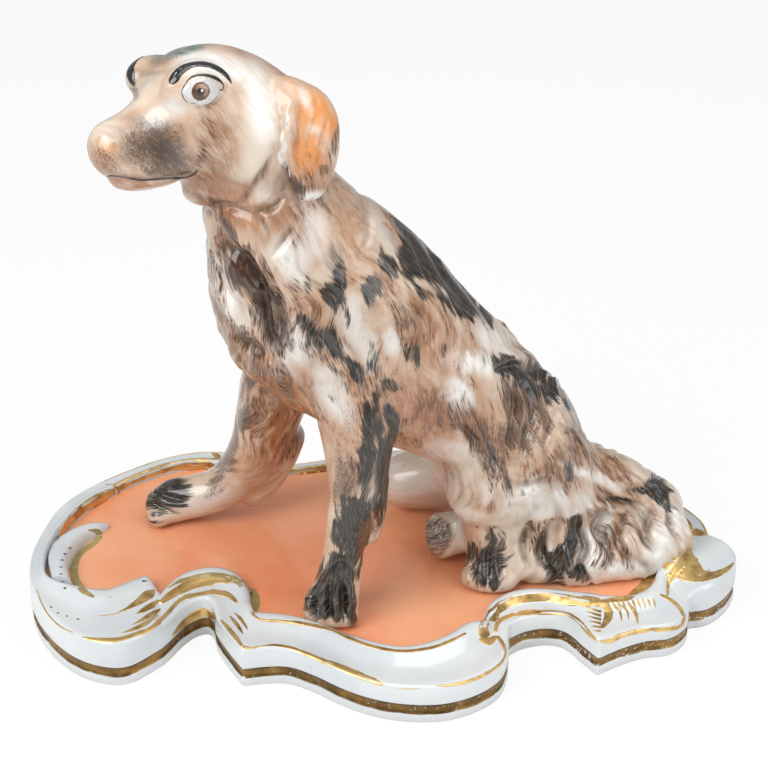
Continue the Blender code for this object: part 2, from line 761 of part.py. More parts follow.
def centre_on_plinth():
    """Moves everything so that the origin is under the middle of the plinth."""
    edge = outline()
    middle_x = (min(p.x for p in edge) + max(p.x for p in edge)) / 2
    middle_y = (min(p.y for p in edge) + max(p.y for p in edge)) / 2
    shift = Matrix.Translation(Vector((-middle_x, -middle_y, 0.0)) * MM)
    for obj in bpy.data.objects:
        obj.data.transform(shift)


def shade():
    """Rounded shading except at true edges, and the coral ground on the deck."""
    for obj in bpy.data.objects:
        for face in obj.data.polygons:
            face.use_smooth = True
        obj.data.set_sharp_from_angle(angle=radians(SHARP_ANGLE))
    plinth = bpy.data.objects["plinth"]
    for face in plinth.data.polygons:
        if face.normal.z > DECK_NORMAL:
            face.material_index = plinth.data.materials.find("ground")


def main():
    clear_scene()
    make_plinth()
    for name, rows in RIM.items():
        make_rim_section(name, rows)
    make_rim_section("left_scroll_leaf", SCROLL_LEAF)
    make_dog()
    centre_on_plinth()
    shade()


main()
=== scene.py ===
"""Looks of the porcelain dog figurine: glaze, painted coat, gilding, camera and light.

Lengths and places are millimetres, in the drawing frame of the figure, which lies
DRAWING_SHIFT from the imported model's frame. What is placed as it is seen has pixels u, v,
right and down, in the photograph's frame.
"""

import math

import bmesh
import bpy
import numpy as np
from mathutils import Matrix, Vector
from mathutils.bvhtree import BVHTree


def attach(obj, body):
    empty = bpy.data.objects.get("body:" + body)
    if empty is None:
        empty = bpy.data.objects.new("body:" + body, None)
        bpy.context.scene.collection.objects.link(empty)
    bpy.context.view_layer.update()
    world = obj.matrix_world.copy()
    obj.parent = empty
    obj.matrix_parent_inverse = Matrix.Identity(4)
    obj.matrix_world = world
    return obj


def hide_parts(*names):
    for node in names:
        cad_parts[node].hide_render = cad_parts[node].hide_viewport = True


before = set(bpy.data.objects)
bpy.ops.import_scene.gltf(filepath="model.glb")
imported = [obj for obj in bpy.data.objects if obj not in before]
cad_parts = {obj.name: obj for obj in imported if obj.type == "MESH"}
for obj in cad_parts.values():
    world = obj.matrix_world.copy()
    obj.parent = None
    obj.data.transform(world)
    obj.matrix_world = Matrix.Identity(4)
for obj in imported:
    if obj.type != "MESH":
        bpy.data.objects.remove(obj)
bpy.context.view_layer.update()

MM = 0.001
DRAWING_SHIFT = np.array([0.05, -4.93518, 0.0])

# Camera, in the drawing frame
CAMERA_ELEVATION = 31.0
CAMERA_DISTANCE_MM = 650.0
CAMERA_TARGET_MM = (0.0, 0.0, 94.2)
CAMERA_LENS = 87.31
SENSOR_MM = 36.0
PICTURE_SIZE = 768
MM_PER_PIXEL = 0.35

# Light: lamp name, place and width in mm, watts
WORLD_LEVEL = 0.36
FLOOR_GLOW = 0.88
FLOOR_HALF_SIDE = 12.0
LAMPS = [
    ("key", (-480.0, -420.0, 640.0), 560.0, 5.2),
    ("fill", (620.0, -420.0, 380.0), 520.0, 1.9),
    ("top", (140.0, -40.0, 800.0), 560.0, 2.2),
]

# The body's and the head's places in mm, and their turns in degrees
BODY_TURN = 8.0
BODY_OFFSET_Y = 7.6
HEAD_YAW = 28.0
HEAD_ROLL = 9.0
HEAD_ORIGIN = (-42.0, 3.0, 196.0)

# Dog mesh: its castings, how they are fused, and how hair, folds and paint lie on them
DOG_NODES = [
    "torso", "head", "left_ear", "right_ear", "left_foreleg", "right_foreleg",
    "left_hind_leg", "right_hind_leg", "tail",
]
WELD_M = 2e-6
SEAM_GROWTH_MM = 0.22
DOG_VOXEL_MM = 0.85
SMOOTH_FACTOR = 0.5
SMOOTH_PASSES = 14
FLOW_PASSES = 12
SOLVE_PASSES = 600
SIDE_CHANGE = 6.0
CARVING_STEPS = 8
CARVING_REACH = 2.5
LOCK_HEIGHT = 2.1
FOLD_HEIGHT = 2.4
CURL_MM = 3.2
CURL_REACH_MM = 15.0
REGION_SOLID_MM = 1.2
REGION_FADE_MM = 5.0
PATCH_SOLID = 0.25
PATCH_END = 1.6
FACING_AWAY = -0.25
FACING_CAMERA = 0.05

# Hair: locks and the finer hair on them
LOCK_WIDTH_MM = 3.6
LOCK_LENGTH_MM = 26.0
LOCK_WAVE_MM = 24.0
LOCK_SWAY_MM = 1.6
HAIR_WIDTH_MM = 1.5
HAIR_LENGTH_MM = 14.0
COMB_REACH_MM = 17.0
FAR_COMB_SHARE = 1e-5
FAR_COMB_REACH_MM = 30.0
LEAST_COMB_SHARE = 1e-6

# How the hair lies: place x, y, z in mm, direction x, y, z, and depth of the locks in mm
COMBS = {
    "muzzle_near": (-78, -15, 192, 0.9, 0.3, -0.1, 0.03),
    "muzzle_far": (-88, 8, 192, 0.9, 0.3, -0.1, 0.03),
    "bridge": (-75, -10, 204, 0.9, 0.3, 0.35, 0.02),
    "forehead": (-60, -8, 215, 0.9, 0.3, 0.5, 0.02),
    "crown": (-42, 0, 221, 0.95, 0.2, -0.1, 0.03),
    "nape": (-25, 5, 205, 0.6, 0, -0.8, 0.15),
    "cheek": (-55, -20, 195, 0, 0, -1, 0.06),
    "cheek_near_eye": (-50, -18, 205, 0.1, 0, -1, 0.03),
    "cheek_middle": (-60, -20, 203, 0, 0, -1, 0.03),
    "cheek_low": (-57, -20, 190, 0, 0, -1, 0.06),
    "temple": (-49, -16, 213, 0, 0, -1, 0.03),
    "cheek_back": (-42, -22, 180, 0, 0, -1, 0.15),
    "cheek_far": (-60, 18, 190, 0.2, 0, -1, 0.1),
    "ear_near": (-28, -22, 195, -0.1, 0, -1, 0.25),
    "ear_far": (-28, 24, 195, -0.1, 0, -1, 0.25),
    "throat": (-60, 0, 165, 0.15, 0, -1, 0.3),
    "body_chest": (-58, -4, 140, 0.25, 0, -1, 0.8),
    "body_chest_side": (-45, -20, 140, 0.3, 0, -1, 0.6),
    "body_shoulder": (-25, -28, 130, 0, 0, -1, 0.45),
    "body_neck": (-15, -15, 165, 0.35, 0, -0.9, 0.3),
    "body_back": (0, 0, 160, 0.65, 0, -0.75, 0.3),
    "body_side": (10, -25, 130, 0.1, 0, -1, 0.45),
    "body_saddle": (15, 0, 140, 0.6, 0, -0.8, 0.35),
    "body_flank": (25, -25, 100, -0.1, 0, -1, 0.4),
    "body_belly": (0, -20, 75, 0, 0, -1, 0.15),
    "body_haunch": (55, -22, 75, -0.2, 0, -1, 0.75),
    "body_haunch_low": (50, -25, 50, 0.15, 0, -1, 0.9),
    "tail_root": (75, 0, 55, 0.7, 0, -0.7, 0.9),
    "tail_mid": (95, 5, 35, 0.8, -0.2, -0.6, 1),
    "tail_right": (105, 8, 25, 0.3, -0.3, -1, 1),
    "tail_front": (80, -8, 24, -0.3, -0.2, -0.9, 1),
    "tail_tip": (60, -10, 20, -0.7, -0.3, -0.5, 0.8),
    "tail_back": (90, 30, 30, 0.5, 0.4, -0.7, 0.8),
    "foreleg_near": (-12, -24, 60, -0.05, 0, -1, 0.15),
    "paw_near": (-17, -30, 20, -0.3, -0.9, -0.3, 0.06),
    "foreleg_far": (-40, 30, 70, -0.3, 0, -0.95, 0.15),
    "wrist_far": (-60, 34, 30, -0.8, 0, -0.5, 0.1),
    "paw_far": (-80, 35, 22, -1, 0, -0.1, 0.06),
    "hind_foot_near": (39, -8, 25, 0, -0.7, -0.7, 0.08),
    "thigh_far": (15, 40, 28, -1, 0, -0.1, 0.03),
    "sole_far": (21, 6, 24, -1, -0.2, 0, 0.03),
}

# Combs whose names start so are repeated on the body's far side
MIRRORED_COMBS = "body_"

# Colours, linear red, green, blue
COAT = {
    "cream": (0.73, 0.62, 0.51),
    "warm_cream": (0.62, 0.44, 0.32),
    "dun": (0.36, 0.29, 0.22),
    "tan": (0.43, 0.23, 0.122),
    "rust": (0.36, 0.145, 0.062),
    "orange": (0.74, 0.30, 0.09),
    "teal": (0.13, 0.18, 0.17),
    "white": (0.79, 0.785, 0.75),
    "grey": (0.085, 0.078, 0.070),
    "brown": (0.046, 0.017, 0.006),
    "worn_brown": (0.19, 0.080, 0.033),
    # groove: brown paint pooled in the grooves, made darker as painted shade so that the relief shows
    "groove": (0.11, 0.058, 0.036),
    "halo": (0.085, 0.058, 0.036),
    "speckle": (0.075, 0.048, 0.034),
    "black": (0.008, 0.007, 0.006),
    "worn_black": (0.028, 0.023, 0.018),
}

# Grain of the paint: waves in a mm along and across the hair, then waves in a metre
FINE_GRAIN = (0.26, 2.1)
BROAD_GRAIN = (0.13, 0.42)
CLOUD_SCALE = 55.0
DAB_SCALE = 520.0
SPECKLE_SCALE = 1500.0

# How sharply strokes stand out, and the pigments, washes first
STROKE_CONTRAST = 2.4
DARK_CONTRAST = 2.9
BRISTLE_CONTRAST = 3.4
WASHES = ["tan", "rust", "orange", "white", "grey", "teal"]
PIGMENTS = WASHES + ["brown", "speckle", "black"]

# Colours of the gilding, glaze, fine lines, eyes and floor. A pair is dark, then light.
GOLD_DARK = (0.40, 0.235, 0.065)
GOLD_BRIGHT = (0.84, 0.58, 0.23)
BAND_DARK = (0.095, 0.048, 0.010)
BAND_BRIGHT = (0.30, 0.17, 0.04)
CORAL_DEEP = (0.86, 0.29, 0.135)
CORAL_PALE = (0.90, 0.42, 0.225)
GLAZE_COOL = (0.62, 0.66, 0.68)
GLAZE_PALE = (0.70, 0.735, 0.745)
GLAZE_FOOT = (0.64, 0.65, 0.65)
GLAZE_SPECK = (0.12, 0.09, 0.07)
GLAZE_UNDER_GOLD = (0.78, 0.78, 0.74)
WALL_COOL = (0.72, 0.75, 0.76)
WALL_PALE = (0.8, 0.82, 0.82)
RUBBED_GOLD = (0.62, 0.33, 0.08)
BROWN_DOT_COLOURS = ((0.10, 0.06, 0.035), (0.22, 0.15, 0.10))
OLIVE_COLOURS = ((0.30, 0.22, 0.07), (0.42, 0.34, 0.13))
INK_COLOURS = ((0.012, 0.012, 0.016), (0.035, 0.03, 0.03))
BROWN_LINE_COLOURS = ((0.05, 0.025, 0.015), (0.16, 0.08, 0.05))
# Colours of the pale strokes on the face, which are painted highlights
HIGHLIGHT_LINE_COLOURS = ((0.62, 0.6, 0.58), (0.75, 0.73, 0.71))
EYE_WHITE = ((0.56, 0.55, 0.54), (0.68, 0.68, 0.68))
IRIS = ((0.10, 0.042, 0.02), (0.36, 0.21, 0.14))
IRIS_RIM = (0.09, 0.04, 0.025)
PUPIL = (0.02, 0.012, 0.01)
GLINT = (0.85, 0.85, 0.84)
FLOOR_GREY = (0.9, 0.9, 0.9)

# Which castings a patch of paint may lie on
PARTS = {
    "head": ["head"],
    "ear": ["left_ear", "right_ear"],
    "body": ["torso"],
    "body_head": ["torso", "head"],
    "body_fore": ["torso", "left_foreleg"],
    "body_tail": ["torso", "tail"],
    "head_ear": ["head", "left_ear", "right_ear"],
    "fore": ["left_foreleg"],
    "far_fore": ["right_foreleg"],
    "far_fore_body": ["right_foreleg", "torso"],
    "hind": ["left_hind_leg"],
    "far_hind": ["right_hind_leg"],
    "tail": ["tail"],
}

# Paint on the dog as it is seen from the camera, by castings and pigment. Each patch has
# its strength, the pixel u, v of its middle, its half length and half width in pixels, and
# its turn in degrees clockwise from level.
PAINT = {
    ("body_head", "brown"): {"throat_fold": (1.5, 228, 232, 34, 6, 60)},
    ("body_head", "tan"): {
        "throat_wash": (0.6, 240, 222, 42, 16, 38), "throat_shade": (0.7, 215, 215, 30, 9, 45),
        "jaw_tan": (1.2, 240, 204, 56, 22, 20), "boss_tan": (0.5, 268, 170, 30, 8, 108),
    },
    ("body_head", "white"): {
        # The white spot on the raised boss is a painted highlight, and the rust round it is painted
        # shade
        "neck_blue_white": (0.65, 312, 232, 36, 13, 95), "boss_highlight": (0.6, 262, 194, 10, 9, 0),
    },
    ("body_head", "speckle"): {"neck_specks": (0.22, 304, 222, 28, 10, 90)},
    ("body_head", "grey"): {"neck_shade": (0.14, 298, 232, 36, 24, 60)},
    ("body_head", "rust"): {
        "nape_rust": (0.7, 286, 76, 20, 5, 45), "boss_shade": (0.6, 250, 188, 30, 7, 135),
        "throat_brown": (0.9, 222, 212, 38, 10, 35), "jowl_back": (0.6, 275, 225, 34, 9, 125),
    },
    ("body", "brown"): {
        "chest_dark": (2.2, 252, 277, 38, 17, 46), "chest_core_low": (1.8, 263, 310, 44, 11, 68),
        "chest_brown": (1.4, 277, 312, 34, 13, 76), "chest_fold": (1.5, 240, 334, 34, 9, 50),
        "chest_lines": (0.6, 222, 290, 54, 8, 76), "chest_low_lines": (0.75, 262, 372, 46, 20, 52),
        "neck_brown": (0.3, 362, 200, 44, 14, 62), "neck_brown_low": (0.2, 358, 245, 36, 20, 80),
        "chest_side_brown": (0.55, 296, 300, 40, 12, 70), "side_brown": (0.75, 402, 318, 32, 12, 70),
        "side_curl_lines": (0.45, 434, 326, 38, 26, 75), "side_stroke": (0.75, 442, 348, 9, 5, 80),
        "back_line": (0.9, 478, 290, 60, 10, 50), "haunch_brown": (1.4, 522, 402, 32, 22, 62),
        "haunch_brown_low": (1.25, 541, 418, 17, 12, 45),
        "haunch_low_lines": (0.45, 528, 458, 34, 20, 60), "flank_dark": (0.85, 462, 424, 30, 13, 30),
        "flank_streaks": (1.05, 488, 452, 50, 14, 62), "haunch_front": (0.35, 492, 405, 44, 14, 62),
        "haunch_edge": (0.6, 560, 400, 36, 9, 55),
    },
    ("body", "tan"): {
        "chest_low_wash": (1.2, 270, 380, 44, 34, 56), "neck_tan": (1, 350, 225, 42, 22, 82),
        "neck_tan_low": (0.6, 370, 262, 26, 18, 82), "shoulder_mix": (0.75, 322, 318, 44, 26, 60),
        "side_tan": (0.8, 428, 335, 52, 40, 80), "side_low_tan": (0.85, 425, 385, 40, 24, 30),
        "haunch_tan": (0.8, 530, 425, 50, 38, 60), "haunch_low": (0.6, 530, 462, 34, 26, 40),
        "thigh_tan": (1.1, 470, 400, 60, 28, 50), "belly_tan": (1.25, 415, 420, 46, 30, 10),
    },
    ("body", "white"): {
        "chest_pale": (0.8, 229, 290, 40, 8, 68), "neck_white": (1, 290, 264, 26, 18, 60),
        "shoulder_white": (1, 290, 345, 24, 18, 70), "back_white": (0.9, 488, 336, 26, 12, 45),
        "hip_white": (1, 478, 364, 24, 12, 10), "side_white": (1, 462, 393, 18, 14, 40),
        "side_blue_white": (0.9, 392, 342, 16, 8, 80), "shoulder_pale": (0.9, 352, 322, 26, 12, 80),
        "arm_spot_white": (0.9, 328, 374, 14, 9, 20), "neck_side_white": (0.6, 385, 232, 26, 8, 60),
        "side_front_white": (0.8, 366, 345, 30, 9, 80), "hip_low_white": (0.7, 500, 350, 22, 8, 45),
        "belly_white": (0.5, 452, 452, 36, 10, 0),
    },
    ("body", "rust"): {
        "chest_rust": (0.95, 288, 380, 44, 24, 60), "side_curls": (0.6, 432, 330, 36, 26, 72),
        "flank_rust": (1.1, 436, 414, 50, 22, 18),
    },
    ("body", "grey"): {
        "neck_grey": (0.75, 334, 262, 18, 9, 80), "side_shade": (0.2, 338, 345, 56, 40, 80),
    },
    ("body", "black"): {
        "neck_black": (0.95, 339, 282, 24, 8, 96), "neck_black_low": (0.9, 330, 292, 16, 8, 76),
        "spot_small": (0.5, 308, 285, 12, 5, 88), "spot_middle": (0.9, 372, 286, 15, 9, 96),
        "spot_grey": (0.85, 391, 266, 13, 9, 80), "spot_strokes": (0.55, 382, 262, 20, 4, 88),
        "line_down": (0.55, 346, 310, 26, 4, 80), "shoulder_black_a": (0.75, 312, 332, 18, 9, 56),
        "side_tips": (0.7, 405, 350, 10, 4, 75), "side_dots": (0.8, 417, 358, 12, 3, 88),
        "saddle_edge": (0.9, 402, 224, 26, 7, 50), "saddle_top": (1.1, 422, 250, 44, 16, 56),
        "saddle_lobe": (1.05, 411, 262, 26, 12, 76), "saddle_middle": (1.1, 440, 274, 36, 16, 56),
        "saddle_low": (1.05, 458, 296, 30, 14, 52), "saddle_tip": (0.85, 486, 314, 14, 6, 60),
        "haunch_arc": (1.3, 520, 370, 31, 10, 14), "haunch_grey": (0.95, 531, 384, 22, 12, 32),
        "haunch_grey_edge": (1.1, 550, 390, 16, 7, 72), "thigh_edge": (0.5, 492, 455, 32, 6, 66),
    },
    ("body", "speckle"): {"haunch_speckle": (0.7, 522, 436, 34, 22, 30)},
    ("far_fore_body", "rust"): {
        "breast_fork": (1.1, 288, 404, 36, 24, 30), "far_rust": (1.15, 275, 420, 36, 24, 100),
    },
    ("far_fore_body", "speckle"): {"far_edge_speckle": (0.75, 234, 436, 54, 11, 106)},
    ("far_fore_body", "brown"): {
        "far_brown": (0.55, 262, 422, 40, 18, 105), "far_brown_dark": (0.95, 254, 418, 28, 13, 100),
        "far_brown_back": (0.8, 292, 440, 26, 11, 110),
    },
    ("far_fore_body", "tan"): {"far_tan": (1, 262, 455, 44, 30, 110)},
    ("body_fore", "black"): {
        "shoulder_black_b": (0.85, 335, 346, 20, 8, 60),
        "shoulder_black_c": (0.95, 355, 370, 22, 10, 52),
        "shoulder_black_d": (0.6, 388, 384, 13, 6, 22), "shoulder_lines": (0.4, 376, 368, 36, 9, 68),
        "elbow_black_a": (0.85, 374, 425, 24, 9, 72), "elbow_black_b": (0.8, 391, 418, 18, 7, 75),
        "fore_stripe": (1.2, 368, 456, 56, 9, 94), "fore_back_stripe": (1.4, 384, 466, 42, 10, 99),
    },
    ("body_fore", "brown"): {
        "shoulder_brown": (0.6, 336, 356, 50, 22, 48), "upper_arm_brown": (0.4, 350, 400, 36, 20, 60),
        "fore_stripe_brown": (0.6, 355, 480, 60, 12, 94),
    },
    ("body_fore", "tan"): {
        "shoulder_tan": (0.6, 335, 378, 44, 28, 20), "fore_tan": (0.95, 345, 440, 56, 22, 90),
    },
    ("body_fore", "white"): {"arm_white": (0.9, 338, 398, 26, 15, 70)},
    ("body_fore", "grey"): {"fore_between": (0.8, 377, 462, 42, 7, 97)},
    ("body_fore", "speckle"): {"fore_speckle": (0.62, 343, 492, 74, 14, 92)},
    ("body_tail", "black"): {
        "haunch_spot": (0.9, 569, 405, 10, 6, 30), "haunch_ticks": (0.6, 567, 474, 17, 5, 90),
    },
    ("body_tail", "white"): {
        "haunch_white": (1, 540, 498, 44, 18, 8), "tail_root_white": (0.9, 596, 478, 36, 5, 22),
    },
    ("body_tail", "tan"): {"rump_tan": (0.8, 577, 430, 32, 14, 62)},
    ("body_tail", "brown"): {"rump_lines": (0.7, 580, 438, 40, 14, 62)},
    ("tail", "tan"): {
        "tail_root_tan": (0.5, 605, 470, 34, 14, 28), "tail_tan": (0.3, 595, 515, 70, 30, 10),
    },
    ("tail", "brown"): {
        "tail_root_lines": (0.5, 608, 484, 40, 14, 28), "tail_brown": (0.7, 634, 528, 28, 14, 60),
        "tail_lock_a": (0.75, 610, 540, 26, 11, 110), "tail_lock_b": (0.6, 626, 556, 20, 9, 60),
        "tail_front_brown": (0.8, 534, 535, 22, 12, 100),
        "tail_upper_brown": (0.75, 556, 516, 28, 7, 14), "tail_lock_c": (0.65, 588, 500, 34, 6, 20),
        "tail_lock_d": (0.5, 656, 520, 22, 7, 80),
    },
    ("tail", "black"): {
        "tail_top_black": (1.3, 656, 488, 22, 9, 52), "tail_point": (1.1, 636, 489, 18, 4, 6),
        "tail_line": (0.95, 616, 500, 26, 3.5, 10), "tail_black_curl": (1.1, 566, 550, 34, 10, 112),
        "tail_black_tip": (1.1, 553, 568, 16, 8, 60), "tail_black_end": (0.9, 577, 574, 12, 6, 25),
    },
    ("tail", "grey"): {"tail_grey": (0.6, 640, 514, 22, 10, 20)},
    ("tail", "white"): {
        "tail_white_right": (1.1, 662, 540, 38, 15, 100),
        "tail_white_middle": (1, 592, 560, 34, 11, 75), "tail_white_low": (1, 620, 574, 54, 11, 0),
        "tail_white_lock": (1, 606, 524, 30, 6, 95), "tail_white_edge": (1, 676, 520, 30, 9, 70),
        "tail_white_curl": (0.8, 548, 548, 22, 4, 100),
    },
    ("fore", "black"): {
        "fore_stripe_low": (1.5, 352, 532, 54, 16, 94), "wrist_black": (1.2, 345, 572, 18, 14, 0),
        "paw_black": (1.35, 332, 594, 26, 24, 90),
    },
    ("fore", "tan"): {
        "paw_rim": (0.4, 330, 622, 24, 5, 0), "feather_tan": (0.6, 374, 525, 28, 10, 92),
    },
    ("fore", "speckle"): {"feather_speckle": (0.55, 374, 525, 26, 8, 92)},
    ("far_fore", "speckle"): {"far_speckle": (0.7, 224, 464, 36, 10, 118)},
    ("far_fore", "white"): {"far_low_white": (0.6, 205, 502, 34, 12, 165)},
    ("far_fore", "tan"): {"far_low_tan": (0.4, 222, 498, 50, 16, 160)},
    ("far_fore", "black"): {"far_paw_black": (1.2, 164, 500, 27, 16, 152)},
    ("hind", "brown"): {"hind_paw_tan": (0.6, 490, 545, 24, 18, 90)},
    ("hind", "black"): {"hind_paw_black": (1, 488, 560, 24, 17, 95)},
    ("far_hind", "brown"): {"sole_brown": (0.6, 436, 534, 28, 15, 100)},
    ("far_hind", "speckle"): {"sole_speckle": (0.55, 434, 536, 28, 14, 100)},
    ("far_hind", "white"): {
        "sole_pad": (0.9, 438, 540, 6, 5, 0), "foot_white": (0.7, 475, 505, 34, 12, 150),
        "thigh_white": (0.6, 425, 475, 48, 24, 0),
    },
    ("head", "tan"): {
        "crown_olive": (0.9, 156, 64, 28, 9, 162), "muzzle_grey": (1, 154, 150, 40, 32, 10),
        # The tan under the chin and under the nose is painted shade
        "chin_shade": (0.9, 124, 176, 36, 8, 6), "under_nose_shade": (1, 104, 166, 26, 16, 60),
        "cheek_tan": (1.1, 216, 150, 56, 26, 92), "temple_tan": (0.5, 236, 105, 46, 11, 95),
        "crown_tan": (0.6, 220, 56, 50, 9, 5),
    },
    ("head", "teal"): {"crown_teal": (1.2, 182, 50.5, 32, 5, 167)},
    ("head", "speckle"): {
        "crown_dark": (0.5, 165, 60, 26, 5, 165), "muzzle_speckle": (0.66, 155, 148, 39, 31, 12),
        "muzzle_low": (0.7, 165, 170, 32, 8, 5), "far_brow_shade": (0.6, 134, 90, 12, 5, 75),
        "nose_speckle": (0.5, 108, 165, 24, 14, 50),
    },
    ("head", "rust"): {
        "crown_rust": (0.7, 252, 56, 40, 6, 26), "lower_lip": (0.9, 132, 184, 36, 7, 4),
        "cheek_low_tan": (0.7, 205, 186, 40, 11, 20), "ear_front_rust": (0.5, 277, 135, 38, 6, 95),
    },
    ("head", "grey"): {
        "muzzle_dark": (1, 163, 152, 32, 24, 20), "muzzle_brown": (0.8, 152, 147, 37, 27, 8),
        "brow_olive": (0.4, 150, 71, 24, 12, 145), "cheek_shade": (0.26, 214, 152, 52, 26, 92),
    },
    ("head", "white"): {
        "temple_white": (1.3, 260, 103, 42, 14, 80), "forehead_white": (1.25, 214, 64, 44, 13, 14),
        "bridge_white": (0.7, 166, 112, 32, 12, 150),
    },
    ("head", "orange"): {"nostril": (0.7, 109, 147, 9, 6, 10)},
    ("head", "brown"): {
        "cheek_streak_a": (0.45, 207, 142, 54, 12, 92), "cheek_streak_b": (0.32, 229, 140, 52, 9, 92),
        "muzzle_back": (0.5, 202, 155, 34, 8, 95),
    },
    ("ear", "orange"): {
        "ear_orange": (1.35, 322, 113, 32, 18, 55), "ear_orange_low": (1.2, 310, 145, 26, 14, 90),
        "ear_orange_front": (0.9, 302, 128, 32, 7, 88),
    },
    ("ear", "rust"): {
        "ear_rust": (0.9, 313, 172, 28, 19, 90), "ear_front": (1.15, 297, 148, 50, 8, 92),
    },
    ("ear", "brown"): {
        "ear_speckle": (1.2, 335, 142, 17, 5, 100), "ear_low_lines": (0.5, 310, 178, 20, 16, 90),
        "ear_tip_dark": (1.6, 295, 185, 14, 7, 52), "ear_spot_low": (1, 324, 170, 6, 4, 90),
    },
    ("ear", "white"): {
        "ear_white_top": (0.7, 305, 98, 12, 5, 70), "ear_white_spot": (0.6, 313, 130, 7, 5, 0),
        "ear_hem": (1.2, 314, 196, 18, 5, 0),
    },
}

# How thickly the scattered brown hair strokes lie on each casting
MOTTLED = {
    "torso": 1.0, "tail": 0.5, "head": 0.25, "left_ear": 0.4, "right_ear": 0.4,
    "left_foreleg": 0.55, "right_foreleg": 0.5, "left_hind_leg": 0.5, "right_hind_leg": 0.2,
}

